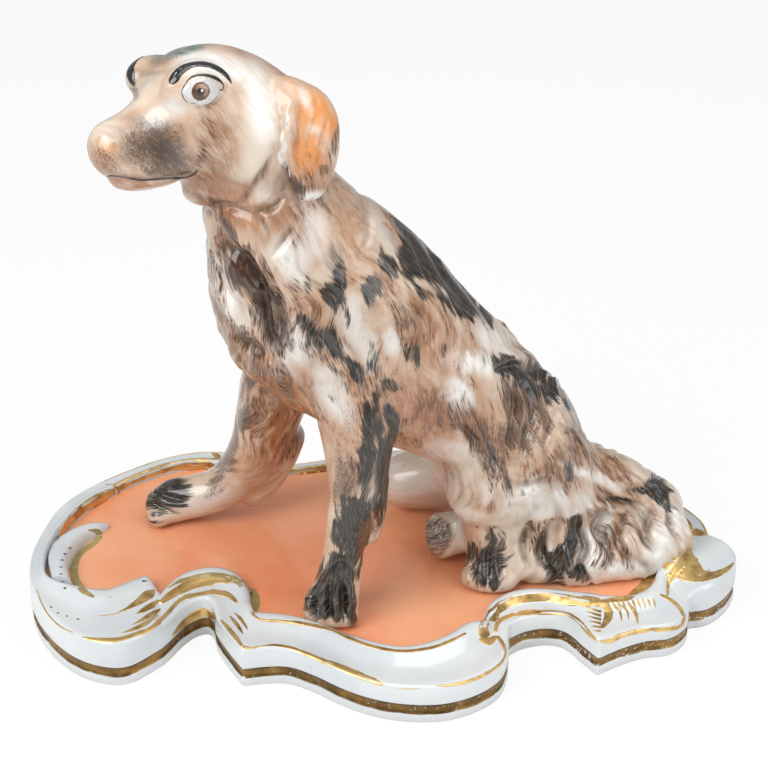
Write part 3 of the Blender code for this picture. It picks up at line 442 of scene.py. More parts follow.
# Sculpted folds and ridges as they are seen from the camera, by castings: height in mm
# (cuts are negative), half width in mm, and the pixels u, v that the stroke runs through
CARVING = {
    "body_head": {
        "boss": (1.2, 3.4, [(254, 188), (262, 195), (268, 201)]),
        "boss_top": (-0.95, 1.5, [(238, 203), (248, 193), (258, 181), (265, 170), (272, 157)]),
        "boss_low": (-0.95, 1.5, [(250, 208), (262, 211), (275, 206), (285, 195)]),
        "jowl": (-0.75, 1.8, [
            (180, 186), (195, 196), (212, 203), (235, 208), (252, 215), (262, 223),
        ]),
        "jaw": (-0.8, 1.8, [(296, 221), (288, 235), (280, 246), (272, 256)]),
        "jaw_back": (-0.65, 1.6, [(258, 216), (266, 228), (270, 241)]),
    },
    "head": {
        "cheek": (-0.25, 1.6, [(208, 110), (211, 130), (207, 150), (205, 172)]),
        "mouth": (-0.55, 0.9, [
            (101, 179), (110, 176), (122, 177), (140, 180), (158, 179), (172, 178), (184, 178),
            (194, 174),
        ]),
        "lip": (0.35, 1.5, [(150, 173), (170, 172), (186, 168), (190, 158)]),
        "eye_socket": (-0.4, 1.2, [
            (181, 93), (186, 81), (200, 73), (216, 77), (226, 88), (212, 105), (196, 107),
            (184, 102), (181, 93),
        ]),
        "brow": (0.45, 2.2, [(173, 80), (182, 66), (202, 61), (222, 70), (232, 83)]),
    },
    "head_ear": {
        "ear_curl": (0.8, 1.3, [
            (293, 98), (287, 114), (290, 128), (283, 141), (286, 155), (280, 165), (289, 178),
        ]),
    },
    "ear": {
        "ear_a": (-0.45, 0.9, [(305, 92), (299, 118), (297, 150), (303, 184)]),
        "ear_b": (-0.4, 0.9, [(318, 98), (311, 125), (307, 152), (313, 188)]),
        "ear_c": (-0.4, 0.9, [(330, 112), (322, 140), (317, 166), (322, 188)]),
    },
    "body": {
        "chest_main": (-1.8, 2.4, [
            (216, 226), (228, 245), (245, 262), (258, 285), (263, 310), (268, 335), (279, 352),
        ]),
        "chest_lock": (1, 2.6, [(214, 250), (218, 280), (232, 310), (246, 336)]),
        "chest_lock_cut": (-0.9, 1.2, [(218, 262), (226, 285), (240, 308), (251, 332)]),
        "chest_low": (-1.2, 1.8, [(221, 316), (238, 338), (262, 352), (276, 363)]),
        "chest_a": (-0.8, 1.3, [(262, 262), (275, 285), (282, 310), (286, 335), (295, 356)]),
        "chest_lock_low": (0.8, 2.4, [(262, 347), (274, 365), (281, 386)]),
        "neck_a": (-0.5, 1.5, [(340, 172), (355, 187), (367, 210), (369, 235), (359, 256)]),
        "neck_b": (-0.4, 1.3, [(337, 240), (347, 262), (349, 283), (344, 303)]),
        "shoulder_a": (-0.5, 1.3, [(300, 300), (310, 322), (328, 345), (338, 365)]),
        "shoulder_b": (-0.5, 1.3, [(330, 310), (342, 335), (356, 358), (366, 382)]),
        "shoulder_c": (-0.5, 1.4, [(362, 320), (372, 345), (378, 370), (390, 388)]),
        "saddle_a": (-0.5, 1.1, [(405, 232), (418, 250), (428, 275), (438, 297)]),
        "saddle_b": (-0.5, 1.1, [(415, 228), (430, 250), (445, 275), (462, 300), (471, 319)]),
        "saddle_c": (-0.45, 1.1, [(440, 254), (455, 275), (470, 295), (481, 311)]),
        "side_a": (-0.5, 1.2, [(394, 308), (400, 330), (409, 352)]),
        "side_b": (-0.5, 1.2, [(424, 303), (433, 325), (430, 346)]),
        "side_c": (-0.5, 1.2, [(440, 308), (455, 325), (456, 345), (445, 353)]),
        "flank_a": (-1, 1.8, [(466, 398), (482, 425), (492, 450), (505, 478), (513, 497)]),
        "flank_b": (-0.7, 1.4, [(453, 408), (470, 435), (480, 462), (499, 500)]),
        "thigh": (-0.9, 1.6, [(438, 430), (462, 431), (480, 448), (485, 472)]),
        "haunch_rim": (0.9, 2.2, [(494, 363), (515, 356), (536, 362), (553, 383)]),
        "haunch_under": (-0.9, 1.5, [(496, 371), (515, 366), (535, 373), (549, 393)]),
        "haunch_a": (-0.9, 1.5, [(505, 374), (516, 400), (512, 430), (504, 462)]),
        "haunch_b": (-0.9, 1.5, [(522, 384), (533, 410), (525, 440), (521, 468)]),
        "haunch_c": (-0.9, 1.5, [(544, 394), (553, 420), (545, 445), (551, 472)]),
        "haunch_lock": (0.7, 2.2, [(554, 388), (562, 413), (572, 438)]),
        "haunch_low": (-0.8, 1.6, [(500, 480), (520, 486), (545, 482), (566, 490)]),
    },
    "far_fore_body": {
        "chest_b": (-0.7, 1.3, [(243, 371), (258, 388), (275, 398), (290, 413)]),
    },
    "body_fore": {
        "chest_c": (-0.8, 1.5, [(268, 350), (285, 372), (290, 395), (300, 410), (318, 421)]),
    },
    "body_tail": {
        "haunch_d": (-0.8, 1.5, [(559, 398), (568, 425), (575, 445), (581, 468)]),
        "rump": (-0.7, 1.3, [(563, 433), (578, 427), (589, 440), (593, 457)]),
    },
    "tail": {
        "tail_a": (-1.6, 1.6, [(597, 451), (602, 466), (618, 476), (642, 472)]),
        "tail_b": (-1.4, 1.5, [(588, 480), (612, 486), (635, 488), (657, 478)]),
        "tail_c": (-1.4, 1.6, [(596, 498), (620, 502), (642, 506)]),
        "tail_d": (-1.7, 1.8, [(601, 510), (598, 530), (610, 550), (613, 567)]),
        "tail_e": (-1.6, 1.8, [(626, 513), (618, 535), (628, 555), (641, 567)]),
        "tail_f": (-1.6, 1.8, [(651, 513), (645, 535), (655, 552)]),
        "tail_g": (-1.3, 1.6, [(667, 508), (672, 525), (681, 541)]),
        "tail_h": (-1.7, 1.8, [(530, 523), (520, 545), (529, 567)]),
        "tail_i": (-1.7, 1.8, [(551, 523), (542, 545), (545, 565), (556, 582)]),
        "tail_j": (-1.7, 1.8, [(575, 520), (586, 545), (580, 565), (591, 584)]),
        "tail_ridge": (1.3, 2.6, [(556, 506), (590, 500), (622, 511)]),
        "tail_locks": (1.3, 2.4, [(560, 530), (566, 552), (570, 574)]),
    },
    "hind": {
        "hind_toe_a": (-1, 1, [(479, 547), (474, 562), (472, 578)]),
        "hind_toe_b": (-1, 1, [(489, 544), (487, 562), (487, 581)]),
        "hind_toe_c": (-1, 1, [(500, 547), (501, 562), (504, 579)]),
    },
    "fore": {
        "fore_toe_a": (-1.2, 1, [(320, 583), (316, 600), (318, 616)]),
        "fore_toe_b": (-1.2, 1, [(330, 581), (329, 600), (331, 621)]),
        "fore_toe_c": (-1.2, 1, [(342, 582), (343, 600), (343, 619)]),
        "fore_knuckle_a": (1, 1.5, [(314, 588), (311, 602), (313, 614)]),
        "fore_knuckle_b": (1, 1.5, [(325, 580), (323, 600), (325, 618)]),
        "fore_knuckle_c": (1, 1.6, [(336, 579), (336, 600), (338, 621)]),
        "fore_knuckle_d": (1, 1.5, [(349, 582), (351, 600), (351, 614)]),
        "wrist": (-0.7, 2, [(324, 570), (338, 562), (352, 564)]),
    },
    "far_fore": {
        "far_toe_a": (-1, 1, [(149, 501), (160, 508), (172, 512)]),
        "far_toe_b": (-1, 1, [(157, 492), (172, 498), (187, 501)]),
    },
    "far_hind": {
        "sole": (-0.6, 1.1, [
            (425, 520), (440, 516), (452, 526), (450, 545), (438, 558), (426, 550), (422, 535),
            (425, 520),
        ]),
    },
}

# Face: pixels u, v, sizes of the eye, and how the far brow moves to its place
NEAR_EYE_PIXEL = (201.5, 91.0)
NEAR_BROW_PIXEL = (174.0, 79.0)
FAR_BROW_PIXEL = (135.0, 80.0)
MOVED_SHARE = 0.4
BROW_OUTWARD_MM = 4.5
EYE_HALF_LENGTH_MM = 6.9
EYE_HALF_HEIGHT_MM = 4.9
EYE_TILT = -4.0
EYE_PINCH = 0.3
EYE_DOME_MM = 0.7
EYE_EDGE_MM = 0.06
EYE_SUNK_MM = 0.3
EYE_RINGS = 10
EYE_SPOKES = 48
IRIS_RADIUS_MM = 2.9
IRIS_OFFSET_MM = -0.4
PUPIL_MM = (0.95, 1.4)
GLINT_MM = 0.35

# Raised strokes: share of the half width, and of the height, round a closed section
STROKE_SECTION = [
    (-1.0, -0.5), (-0.72, 0.7), (-0.3, 1.0), (0.3, 1.0), (0.72, 0.7), (1.0, -0.5),
    (0.5, -2.5), (-0.5, -2.5),
]

# A dot: place along it and half width, as shares of its radius
DOT_SECTION = [(-1, 0.1), (-0.7, 0.75), (0, 1), (0.7, 0.75), (1, 0.1)]
STROKE_STEPS = 6
THIN_STROKE_MM = 0.03
HIGH_ABOVE_MM = 60.0
LEAST_SEEN = 0.42
BRUSH_SPREAD = 1.35

# Strokes on the face as they are seen from the camera: pixel u, v and half width in mm
BROW_STROKES = {
    "brow": [
        (171, 84, 0.9), (173, 79, 2.2), (178, 72, 2.1), (186, 66.5, 1.9), (197, 63.5, 1.8),
        (209, 64.5, 1.8), (219, 69, 1.4), (227, 76, 0.9), (232, 84, 0.1),
    ],
}
DARK_FACE_STROKES = {
    "upper_lid": [
        (186, 82, 0.1), (192, 77, 0.35), (200, 75, 0.55), (209, 76, 0.7), (217, 79, 0.75),
        (223, 84, 0.3), (223, 88, 0.1),
    ],
    "mouth": [
        (101, 179, 0.1), (110, 176, 0.25), (122, 177, 0.3), (140, 180, 0.35), (158, 179, 0.35),
        (172, 178, 0.45), (184, 178, 0.9), (194, 174, 0.7), (197, 170, 0.2),
    ],
}
BROWN_FACE_STROKES = {
    "eye_front": [
        (188, 81, 0.1), (184, 86, 0.2), (182, 93, 0.22), (184, 99, 0.2), (188, 103, 0.12),
    ],
    "eye_low": [(190, 103, 0.08), (198, 104, 0.16), (206, 103, 0.14), (210, 101, 0.05)],
    "eye_corner": [(218, 89, 0.1), (222, 90, 0.25), (224, 87, 0.15)],
}
# Pale strokes: painted highlights along the brow and down the raised curl of the ear
HIGHLIGHT_FACE_STROKES = {
    "brow_highlight": [(174, 76, 0.1), (179, 70, 0.3), (187, 67, 0.3), (196, 66, 0.1)],
    "ear_curl_top_highlight": [(287, 112, 0.1), (288, 118, 0.6), (286, 125, 0.6), (289, 130, 0.1)],
    "ear_curl": [
        (284, 132, 0.1), (282, 140, 0.9), (285, 147, 1), (280, 155, 1), (283, 163, 0.9),
        (289, 170, 0.5), (290, 178, 0.1),
    ],
}

# Pieces of the face's paint: strokes, height in mm and colours. The first is the brows, and the pale
# strokes are painted highlights.
FACE_PAINT = {
    "brow_lines": (BROW_STROKES, 0.16, INK_COLOURS),
    "dark_face_lines": (DARK_FACE_STROKES, 0.16, INK_COLOURS),
    "brown_face_lines": (BROWN_FACE_STROKES, 0.07, BROWN_LINE_COLOURS),
    "painted_highlight_lines": (HIGHLIGHT_FACE_STROKES, 0.12, HIGHLIGHT_LINE_COLOURS),
}

# Plinth, heights and widths in mm
DECK_Z = 13.0
FOOT_HEIGHT = 3.8
BAND_TOP = 8.0
RUN_STEPS = 8
CLOSE_STATIONS_MM = 0.35
WALL_LIFT_MM = 0.3
HOLLOW_DEPTH_MM = 0.9
FULL_WIDTH_MM = 15.0
RIM_SHARP_DEGREES = 60

# Profiles: the wall's depth and height, then share of the way inward, base level and rise
WALL_PROFILE = [
    (2.5, 0.6), (1.6, 0.05), (0.7, 0.0), (0.15, 0.35), (0.0, 1.2), (0.0, 3.2), (0.1, 3.75),
    (0.7, 4.1), (0.75, 6.0), (0.7, 7.6), (0.12, 8.0), (0.0, 8.5), (0.0, 12.0),
]
TOP_PROFILE = [
    (0.0, "ridge", -1.5), (0.01, "ridge", -0.6), (0.035, "ridge", -0.15), (0.07, "ridge", 0.0),
    (0.13, "ridge", -0.1), (0.28, "hollow", 0.1), (0.45, "hollow", 0.0), (0.6, "hollow", 0.3),
    (0.72, "crest", -0.15), (0.8, "crest", 0.0), (0.88, "crest", -0.2), (0.95, "crest", -0.8),
    (1.0, "seat", 1.2), (1.0, "seat", -0.8), (0.5, "seat", -0.8), (0.05, "seat", -0.8),
]
LEAF_PROFILE = [
    (0.0, "seat", -0.8), (0.0, "seat", 1.5), (0.03, "ridge", -0.5), (0.12, "ridge", 0.0),
    (0.35, "crest", -0.1), (0.55, "crest", 0.0), (0.75, "crest", -0.3), (0.92, "crest", -1.3),
    (1.0, "seat", 1.5), (1.0, "seat", -0.8),
]

# Gilding as it is seen from the camera: pixel u, v and half width in mm
GILDING_HEIGHT_MM = 0.07
GILT_DOT_MM = 0.9
BROWN_DOT_MM = 0.55
GILT_DOTS = [(668, 575)]
BROWN_DOTS = [
    (51, 607), (58, 613), (67, 616), (78, 619), (70, 548), (65, 554), (62, 560), (61, 567),
    (61, 574), (62, 582), (65, 588), (673, 502), (681, 505), (690, 509), (698, 516),
]
GILDING = {
    "left_thin": [
        (37, 590, 0.1), (42, 604, 0.25), (50, 617, 0.25), (61, 627, 0.25), (74, 633, 0.1),
    ],
    "left_outer": [
        (83, 637, 0.2), (92, 639, 0.6), (105, 640, 0.75), (120, 639, 0.7), (136, 634, 0.75),
        (150, 629, 0.8), (160, 621, 0.8), (169, 612, 0.8), (178, 602, 0.75), (188, 597, 0.7),
        (200, 594, 0.6), (214, 592, 0.7), (228, 595, 0.9), (238, 603, 0.3),
    ],
    "wave_crest": [
        (160, 603, 0.5), (168, 597, 1.3), (180, 590, 1.6), (192, 584, 1.7), (206, 581, 1.6),
        (220, 580, 1.2), (232, 582, 0.4),
    ],
    "comb_a": [(117, 613, 0.1), (128, 608, 0.5), (140, 601, 1.2), (149, 594, 1.6), (154, 590, 0.4)],
    "comb_b": [(136, 614, 0.1), (144, 610, 0.8), (152, 605, 1), (159, 600, 0.3)],
    "comb_c": [(132, 625, 0.1), (142, 620, 0.6), (152, 614, 0.9), (160, 609, 0.3)],
    "comb_d": [(122, 633, 0.1), (134, 629, 0.6), (146, 623, 0.8), (157, 615, 0.3)],
    "comb_fine": [(98, 616, 0.05), (108, 615, 0.15), (120, 613, 0.1)],
    "arch_panel": [
        (172, 636, 0.3), (182, 625, 1.2), (194, 617, 1.7), (206, 614, 1.7), (216, 617, 0.6),
    ],
    "panel_a": [(221, 620, 0.3), (227, 627, 0.8), (235, 637, 0.9), (243, 647, 0.4)],
    "panel_b": [(230, 616, 0.2), (235, 622, 0.6), (240, 629, 0.5), (243, 634, 0.1)],
    "panel_c": [(235, 613, 0.2), (240, 618, 0.5), (245, 625, 0.4), (248, 630, 0.1)],
    "front_ridge_left": [
        (243, 647, 0.5), (252, 648, 0.35), (262, 646, 0.2), (276, 645, 0.35), (292, 648, 0.5),
        (308, 654, 0.75), (324, 661, 0.95), (342, 667, 1.1), (360, 675, 1.25), (374, 681, 1.2),
        (383, 685, 0.3),
    ],
    "front_ridge_traces": [(396, 688, 0.05), (408, 689, 0.15), (420, 688.5, 0.05)],
    "front_ridge_right": [
        (436, 686, 0.15), (450, 685, 0.5), (466, 682, 0.6), (480, 677, 0.6), (493, 670, 0.6),
        (502, 662, 0.5), (506, 653, 0.6), (503, 644, 0.6), (497, 636, 0.6),
    ],
    "front_deck_edge": [
        (252, 614, 0.3), (262, 620, 0.4), (282, 621, 0.45), (306, 624, 0.6), (330, 629, 0.6),
        (350, 638, 0.6), (372, 646, 0.55), (400, 651, 0.5), (430, 648, 0.5), (450, 641, 0.5),
        (466, 633, 0.3),
    ],
    "knot": [(479, 641, 0.5), (485, 640, 1.6), (491, 640, 1.2), (496, 636, 0.4)],
    "hollow_band": [
        (484, 642, 1.2), (484, 630, 1.8), (488, 618, 2), (497, 609, 2), (512, 603, 2),
        (532, 600, 2.1), (556, 599, 2.1), (580, 600, 1.6), (598, 602, 1.4), (607, 608, 1.3),
        (608, 618, 1.2), (601, 629, 0.4),
    ],
    "hollow_outer": [
        (495, 633, 0.5), (498, 623, 0.7), (507, 617, 0.7), (524, 613, 0.8), (546, 612, 0.9),
        (566, 614, 0.9), (579, 622, 1.2), (588, 632, 1), (597, 641, 0.3),
    ],
    "shell_outer": [
        (599, 641, 0.3), (610, 641, 0.8), (620, 636, 0.8), (634, 632, 0.8), (652, 630, 0.7),
        (670, 629, 0.7), (681, 626, 0.6), (684, 617, 0.6), (678, 606, 0.6), (669, 599, 0.6),
        (659, 594, 0.3),
    ],
    "shell_deck_edge": [
        (590, 604, 0.5), (612, 600, 0.9), (630, 596, 1.3), (643, 588, 1.7), (649, 577, 1.4),
        (658, 566, 1.2), (667, 557, 1.2),
    ],
    "oval_right": [(667, 596, 0.4), (668, 585, 0.8), (673, 577, 0.9), (682, 573, 0.6)],
    "shell_long_a": [(614, 604, 0.2), (620, 612, 0.35), (622, 622, 0.1)],
    "shell_long_b": [(620, 604, 0.2), (627, 611, 0.35), (629, 621, 0.1)],
    "shell_long_c": [(630, 605, 0.4), (636, 614, 0.6), (638, 625, 0.1)],
    "right_lobe": [
        (662, 563, 1), (674, 568, 2), (686, 573, 2.4), (698, 576, 1.9), (712, 575, 1.3),
        (725, 570, 0.9), (734, 563, 0.3),
    ],
    "right_lobe_fill": [
        (690, 545, 0.6), (688, 553, 2.2), (689, 561, 2.6), (694, 568, 2.2), (702, 572, 0.8),
    ],
    "right_lobe_fan": [(672, 553, 0.5), (678, 558, 1.8), (685, 564, 2), (692, 569, 0.8)],
    "right_roll": [
        (665, 550, 0.5), (672, 541, 1.2), (684, 535, 1.3), (700, 533, 1.1), (713, 536, 0.4),
    ],
    "back_right_edge": [(672, 507, 0.2), (680, 515, 0.9), (687, 524, 1.2), (692, 531, 0.6)],
    "back_left_cove": [
        (57, 541, 0.3), (64, 529, 1), (73, 517, 1.5), (86, 505, 1.9), (100, 497, 1.9),
        (115, 491, 0.8),
    ],
    "back_left_curl": [(106, 484, 0.1), (114, 486, 0.35), (119, 491, 0.4), (116, 496, 0.2)],
    "back_mid_cove": [
        (118, 489, 0.9), (130, 481, 1.4), (146, 474, 1.5), (164, 468, 1.6), (182, 462, 1.5),
        (198, 462, 1.2), (212, 466, 0.8), (219, 470, 0.3),
    ],
    # A thin gilt stroke along the bright line on the cove's gilding: a painted highlight
    "back_mid_highlight": [(160, 470, 0.3), (178, 468, 0.7), (196, 468, 0.7), (214, 471, 0.3)],
    "back_leaf": [(212, 453, 0.2), (217, 456, 0.9), (221, 460, 0.3)],
    "back_hollow_line": [(283, 470, 0.9), (300, 469, 1.2), (315, 468, 1.2), (330, 467, 0.9)],
}

# Rows of fine ticks: their number, then three pixels u, v of the first one, each with its
# step u, v to the next tick and its half width in mm
TICKS = {
    "shell": (9, [(611, 601, 5.2, -0.4, 0.15), (614, 605, 5, -0.4, 0.35),
                  (617, 611, 4.8, -0.4, 0.05)]),
    "fan": (6, [(583, 606, 2, 5, 0.05), (592, 609, 1, 4.4, 0.3), (601, 612, 0, 3.8, 0.4)]),
}

# Olive strokes along the edges of the leaf and of the wave. On the wave they are painted shade on its
# gilding, with a painted reflection of the coral deck.
OLIVE_EDGES = {
    "leaf": [
        (88, 530, 0.2), (96, 531, 0.7), (100, 535, 0.9), (94, 543, 0.9), (84, 550, 0.9),
        (77, 558, 1), (74, 570, 1.2), (76, 581, 1.2), (84, 591, 1), (94, 597, 0.4),
    ],
    # wave: painted shade and a painted reflection of the coral deck on the gilding of the inner wall
    "wave": [
        (168, 588, 0.2), (180, 581, 0.6), (195, 577, 0.7), (212, 575, 0.9), (228, 577, 1.1),
        (242, 583, 1.3), (252, 593, 1.6), (255, 604, 1.5), (253, 614, 0.6),
    ],
}

# Gilt lines round the back: sections, then share of the way inward and half width
BACK_SECTIONS = ["rim_back_right", "rim_back_hollow", "rim_back_scroll", "rim_back_left"]
BACK_GILDING = [(0.07, 0.5), (0.8, 0.8)]
BACK_EVERY = 4

# Rim of the plinth, counter-clockwise from the back-left curl. Each station is
# outer x, y, inner x, y, height of the outer ridge, height of the crest.
RIM = {
    "rim_left_scroll": [
        (-112, 54.5, -106.5, 49.5, 16.6, 17.2), (-119.5, 45.5, -113.5, 40.5, 17, 18),
        (-125.8, 34, -119.6, 29.8, 17.5, 18.5), (-129.3, 18, -124, 16.8, 18, 19),
        (-130.8, 2, -125.4, 2.5, 18.5, 19.6), (-128.5, -14.5, -122.2, -11.2, 18.5, 20.2),
        (-121.5, -29.5, -110.5, -16.5, 18.5, 20.2), (-111, -42, -104.5, -17, 18.5, 19.8),
        (-100, -48.4, -99, -16, 18.8, 19.4), (-89.5, -48.6, -92.5, -10.5, 19, 19),
        (-79.5, -39.5, -86.5, -6.5, 18.6, 18.8),
    ],
    "rim_wave": [
        (-78.9, -38.8, -81.5, -17.5, 17.2, 17), (-76.6, -35, -79, -13, 17, 17.6),
        (-73.4, -29, -75, -7, 17, 18), (-70.3, -24.6, -69.5, -3.2, 17, 18),
        (-66.8, -21.7, -62, -1.8, 17, 18), (-63.6, -21.4, -54.5, -5, 17, 17.8),
        (-61.4, -24.4, -49.5, -12.5, 16.8, 17.4), (-60.1, -30, -47.8, -21.5, 16.4, 16.8),
    ],
    "rim_front_panel": [
        (-59.9, -30.9, -47.6, -22.4, 16.4, 17.2), (-57.2, -36.6, -47.2, -24.2, 16.6, 17.4),
        (-53.6, -43.2, -46.8, -26, 16.8, 17.6), (-49.3, -50.2, -46.2, -27.8, 16.8, 17.6),
    ],
    "rim_front_scroll": [
        (-49.3, -50.2, -46.2, -27.8, 16.8, 17.6), (-41.5, -48.8, -40.5, -28, 16, 17.2),
        (-33, -49, -33, -29.3, 15.6, 17), (-23.5, -54, -24, -33, 15.5, 17),
        (-14, -60.7, -14.5, -39, 15.5, 17.2), (-3, -66.2, -4, -44.3, 15.5, 17.5),
        (9, -68.8, 6, -47.2, 15.5, 17.6), (21, -68.4, 15, -45.2, 15.5, 17.8),
        (32, -63.7, 22.5, -40.7, 15.5, 18), (40, -56.2, 29, -35, 15.4, 18.3),
        (43.3, -46.5, 33, -33.4, 14.8, 17.6), (44.3, -35.5, 35.5, -31.8, 14.4, 15.8),
    ],
    "rim_gilt_hollow": [
        (44.6, -33.4, 35.2, -29.6, 14.6, 15.6), (50.5, -29.4, 38.8, -20.5, 14.6, 16.2),
        (58.5, -27.5, 47.5, -14.4, 14.6, 16.6), (65.5, -29.8, 58, -13.5, 15.2, 16.8),
        (71.2, -38, 67, -14.8, 16, 17), (75.5, -44.3, 74, -15.6, 16.2, 17),
    ],
    "rim_shell_panel": [
        (75.5, -44.3, 74, -15.6, 16.2, 17), (83.5, -39.3, 81, -16.8, 14.8, 16.4),
        (93, -34.9, 89, -16.6, 14.4, 16.2), (102, -33.2, 94.6, -14, 14.4, 16.4),
        (108.7, -26.8, 98.4, -9.5, 14.8, 17), (110.8, -19, 100, -4.8, 15, 17.6),
    ],
    "rim_right_scroll": [
        (111.1, -18, 100.3, -4.2, 16, 18), (118.5, -15.9, 102, 0, 18.4, 20),
        (126, -8.6, 104, 3.8, 19, 21), (130.7, 1.5, 106, 8, 19, 21),
        (128.6, 11, 107.5, 13, 18.4, 20), (124, 18, 108.3, 18, 16.8, 17.6),
    ],
    "rim_back_right": [
        (123.6, 19, 109, 19.2, 16, 17.2), (122.3, 28, 108.4, 28, 16, 17.5),
        (117, 37.2, 103.6, 36, 16, 17.5), (109, 46.5, 96.8, 42, 16, 17.5),
        (98, 55, 88.5, 46.4, 16, 17.5), (85.5, 60.5, 79.5, 49, 16, 17.5),
    ],
    "rim_back_hollow": [
        (85.5, 60.5, 79.5, 49, 16, 17.5), (76, 57.8, 74, 47.4, 15.6, 16.8),
        (66.5, 58, 67, 47.4, 15.6, 16.8), (58, 62.2, 60, 50.8, 15.6, 16.8),
        (52, 69.4, 53.6, 55.6, 16, 17.2),
    ],
    "rim_back_scroll": [
        (52, 69.4, 53.6, 55.6, 16, 17.2), (40, 75.4, 41, 62.6, 16.2, 17.8),
        (25, 78.6, 26, 66.8, 16.2, 18), (8, 78.6, 9, 68.2, 16, 17.6),
        (-8, 76.4, -7, 68.4, 15.4, 16.6), (-22, 73, -21, 67.4, 15, 15.8),
        (-34, 70.2, -34, 65, 14.8, 15.4), (-44, 69.4, -44.6, 63.2, 14.8, 15.4),
    ],
    "rim_back_left": [
        (-44.8, 69.4, -45.4, 63.2, 14.8, 15.4), (-56, 74, -56, 65.4, 16, 17),
        (-67, 76.4, -66.5, 67.4, 16.4, 17.4), (-79, 75.4, -77.5, 67.6, 16.4, 17.4),
        (-91, 70.4, -88, 63.8, 16.4, 17.4), (-102, 62.8, -98, 57, 16.4, 17.2),
        (-111.4, 55.2, -106, 50.2, 16.4, 16.8),
    ],
}

# Leaf of the left scroll, which curls inward over the deck
SCROLL_LEAF = [
    (-121.4, -10.4, -113, -14.4, 18.6, 19.8), (-124.6, 1, -116.3, -3.5, 18.6, 19.8),
    (-124.7, 9, -116.7, 5, 18.2, 19.4), (-123.2, 15.6, -115, 13.2, 17.6, 18.8),
    (-118.8, 22.8, -111.5, 19.8, 16.8, 18), (-112.5, 27, -107.8, 23.8, 16, 17),
    (-106.6, 28.6, -105.6, 27, 14.6, 15.2),
]


# Small helpers


def link(name, mesh):
    obj = bpy.data.objects.new(name, mesh)
    bpy.context.scene.collection.objects.link(obj)
    return obj


def mesh_from(name, points, faces):
    """A mesh object from points in drawing millimetres."""
    mesh = bpy.data.meshes.new(name)
    world = (np.asarray(points, float) + DRAWING_SHIFT) * MM
    mesh.from_pydata(world.tolist(), [], [list(f) for f in faces])
    mesh.update()
    return link(name, mesh)


def points_of(mesh):
    co = np.empty(len(mesh.vertices) * 3, np.float32)
    mesh.vertices.foreach_get("co", co)
    return co.reshape(-1, 3).astype(float) / MM - DRAWING_SHIFT


def set_points(mesh, points):
    world = ((points + DRAWING_SHIFT) * MM).astype(np.float32)
    mesh.vertices.foreach_set("co", world.ravel())
    mesh.update()


def normals_of(mesh):
    no = np.empty(len(mesh.vertices) * 3, np.float32)
    mesh.vertices.foreach_get("normal", no)
    return no.reshape(-1, 3).astype(float)


def evaluated(obj, name):
    """A plain copy of what obj's modifiers make. The object is removed."""
    bpy.context.view_layer.update()
    graph = bpy.context.evaluated_depsgraph_get()
    mesh = bpy.data.meshes.new_from_object(obj.evaluated_get(graph))
    bpy.data.objects.remove(obj, do_unlink=True)
    return link(name, mesh)


def shade(obj, angle=None):
    for face in obj.data.polygons:
        face.use_smooth = True
    if angle is not None:
        obj.data.set_sharp_from_angle(angle=math.radians(angle))


def spline(rows, steps):
    """A smooth curve through the rows, in so many steps from each row to the next."""
    rows = [np.asarray(row, float) for row in rows]
    made = []
    for i in range(len(rows) - 1):
        b, c = rows[i], rows[i + 1]
        a = rows[i - 1] if i else 2 * b - c
        d = rows[i + 2] if i + 2 < len(rows) else 2 * c - b
        for step in range(steps):
            t = step / steps
            made.append(0.5 * (2 * b + (c - a) * t + (2 * a - 5 * b + 4 * c - d) * t**2
                               + (3 * b - a - 3 * c + d) * t**3))
    made.append(rows[-1])
    return np.array(made)


def lattice(ix, iy, seed):
    """Repeatable values from 0 to 1 at whole-number grid points."""
    h = (ix * 374761393 + iy * 668265263 + seed * 974634777) & 0xFFFFFFFF
    h = ((h ^ (h >> 13)) * 1274126177) & 0xFFFFFFFF
    return ((h ^ (h >> 16)) & 0xFFFF) / 65535.0


def noise(u, v, seed):
    """Smooth value noise from 0 to 1 over the plane u, v."""
    iu, iv = np.floor(u).astype(np.int64), np.floor(v).astype(np.int64)
    fu, fv = u - iu, v - iv
    fu, fv = fu * fu * (3 - 2 * fu), fv * fv * (3 - 2 * fv)
    low = lattice(iu, iv, seed) * (1 - fu) + lattice(iu + 1, iv, seed) * fu
    high = lattice(iu, iv + 1, seed) * (1 - fu) + lattice(iu + 1, iv + 1, seed) * fu
    return low * (1 - fv) + high * fv


def ramp(x, low, high):
    """Rises smoothly from 0 at low to 1 at high."""
    t = np.clip((x - low) / (high - low), 0, 1)
    return t * t * (3 - 2 * t)


# Node materials


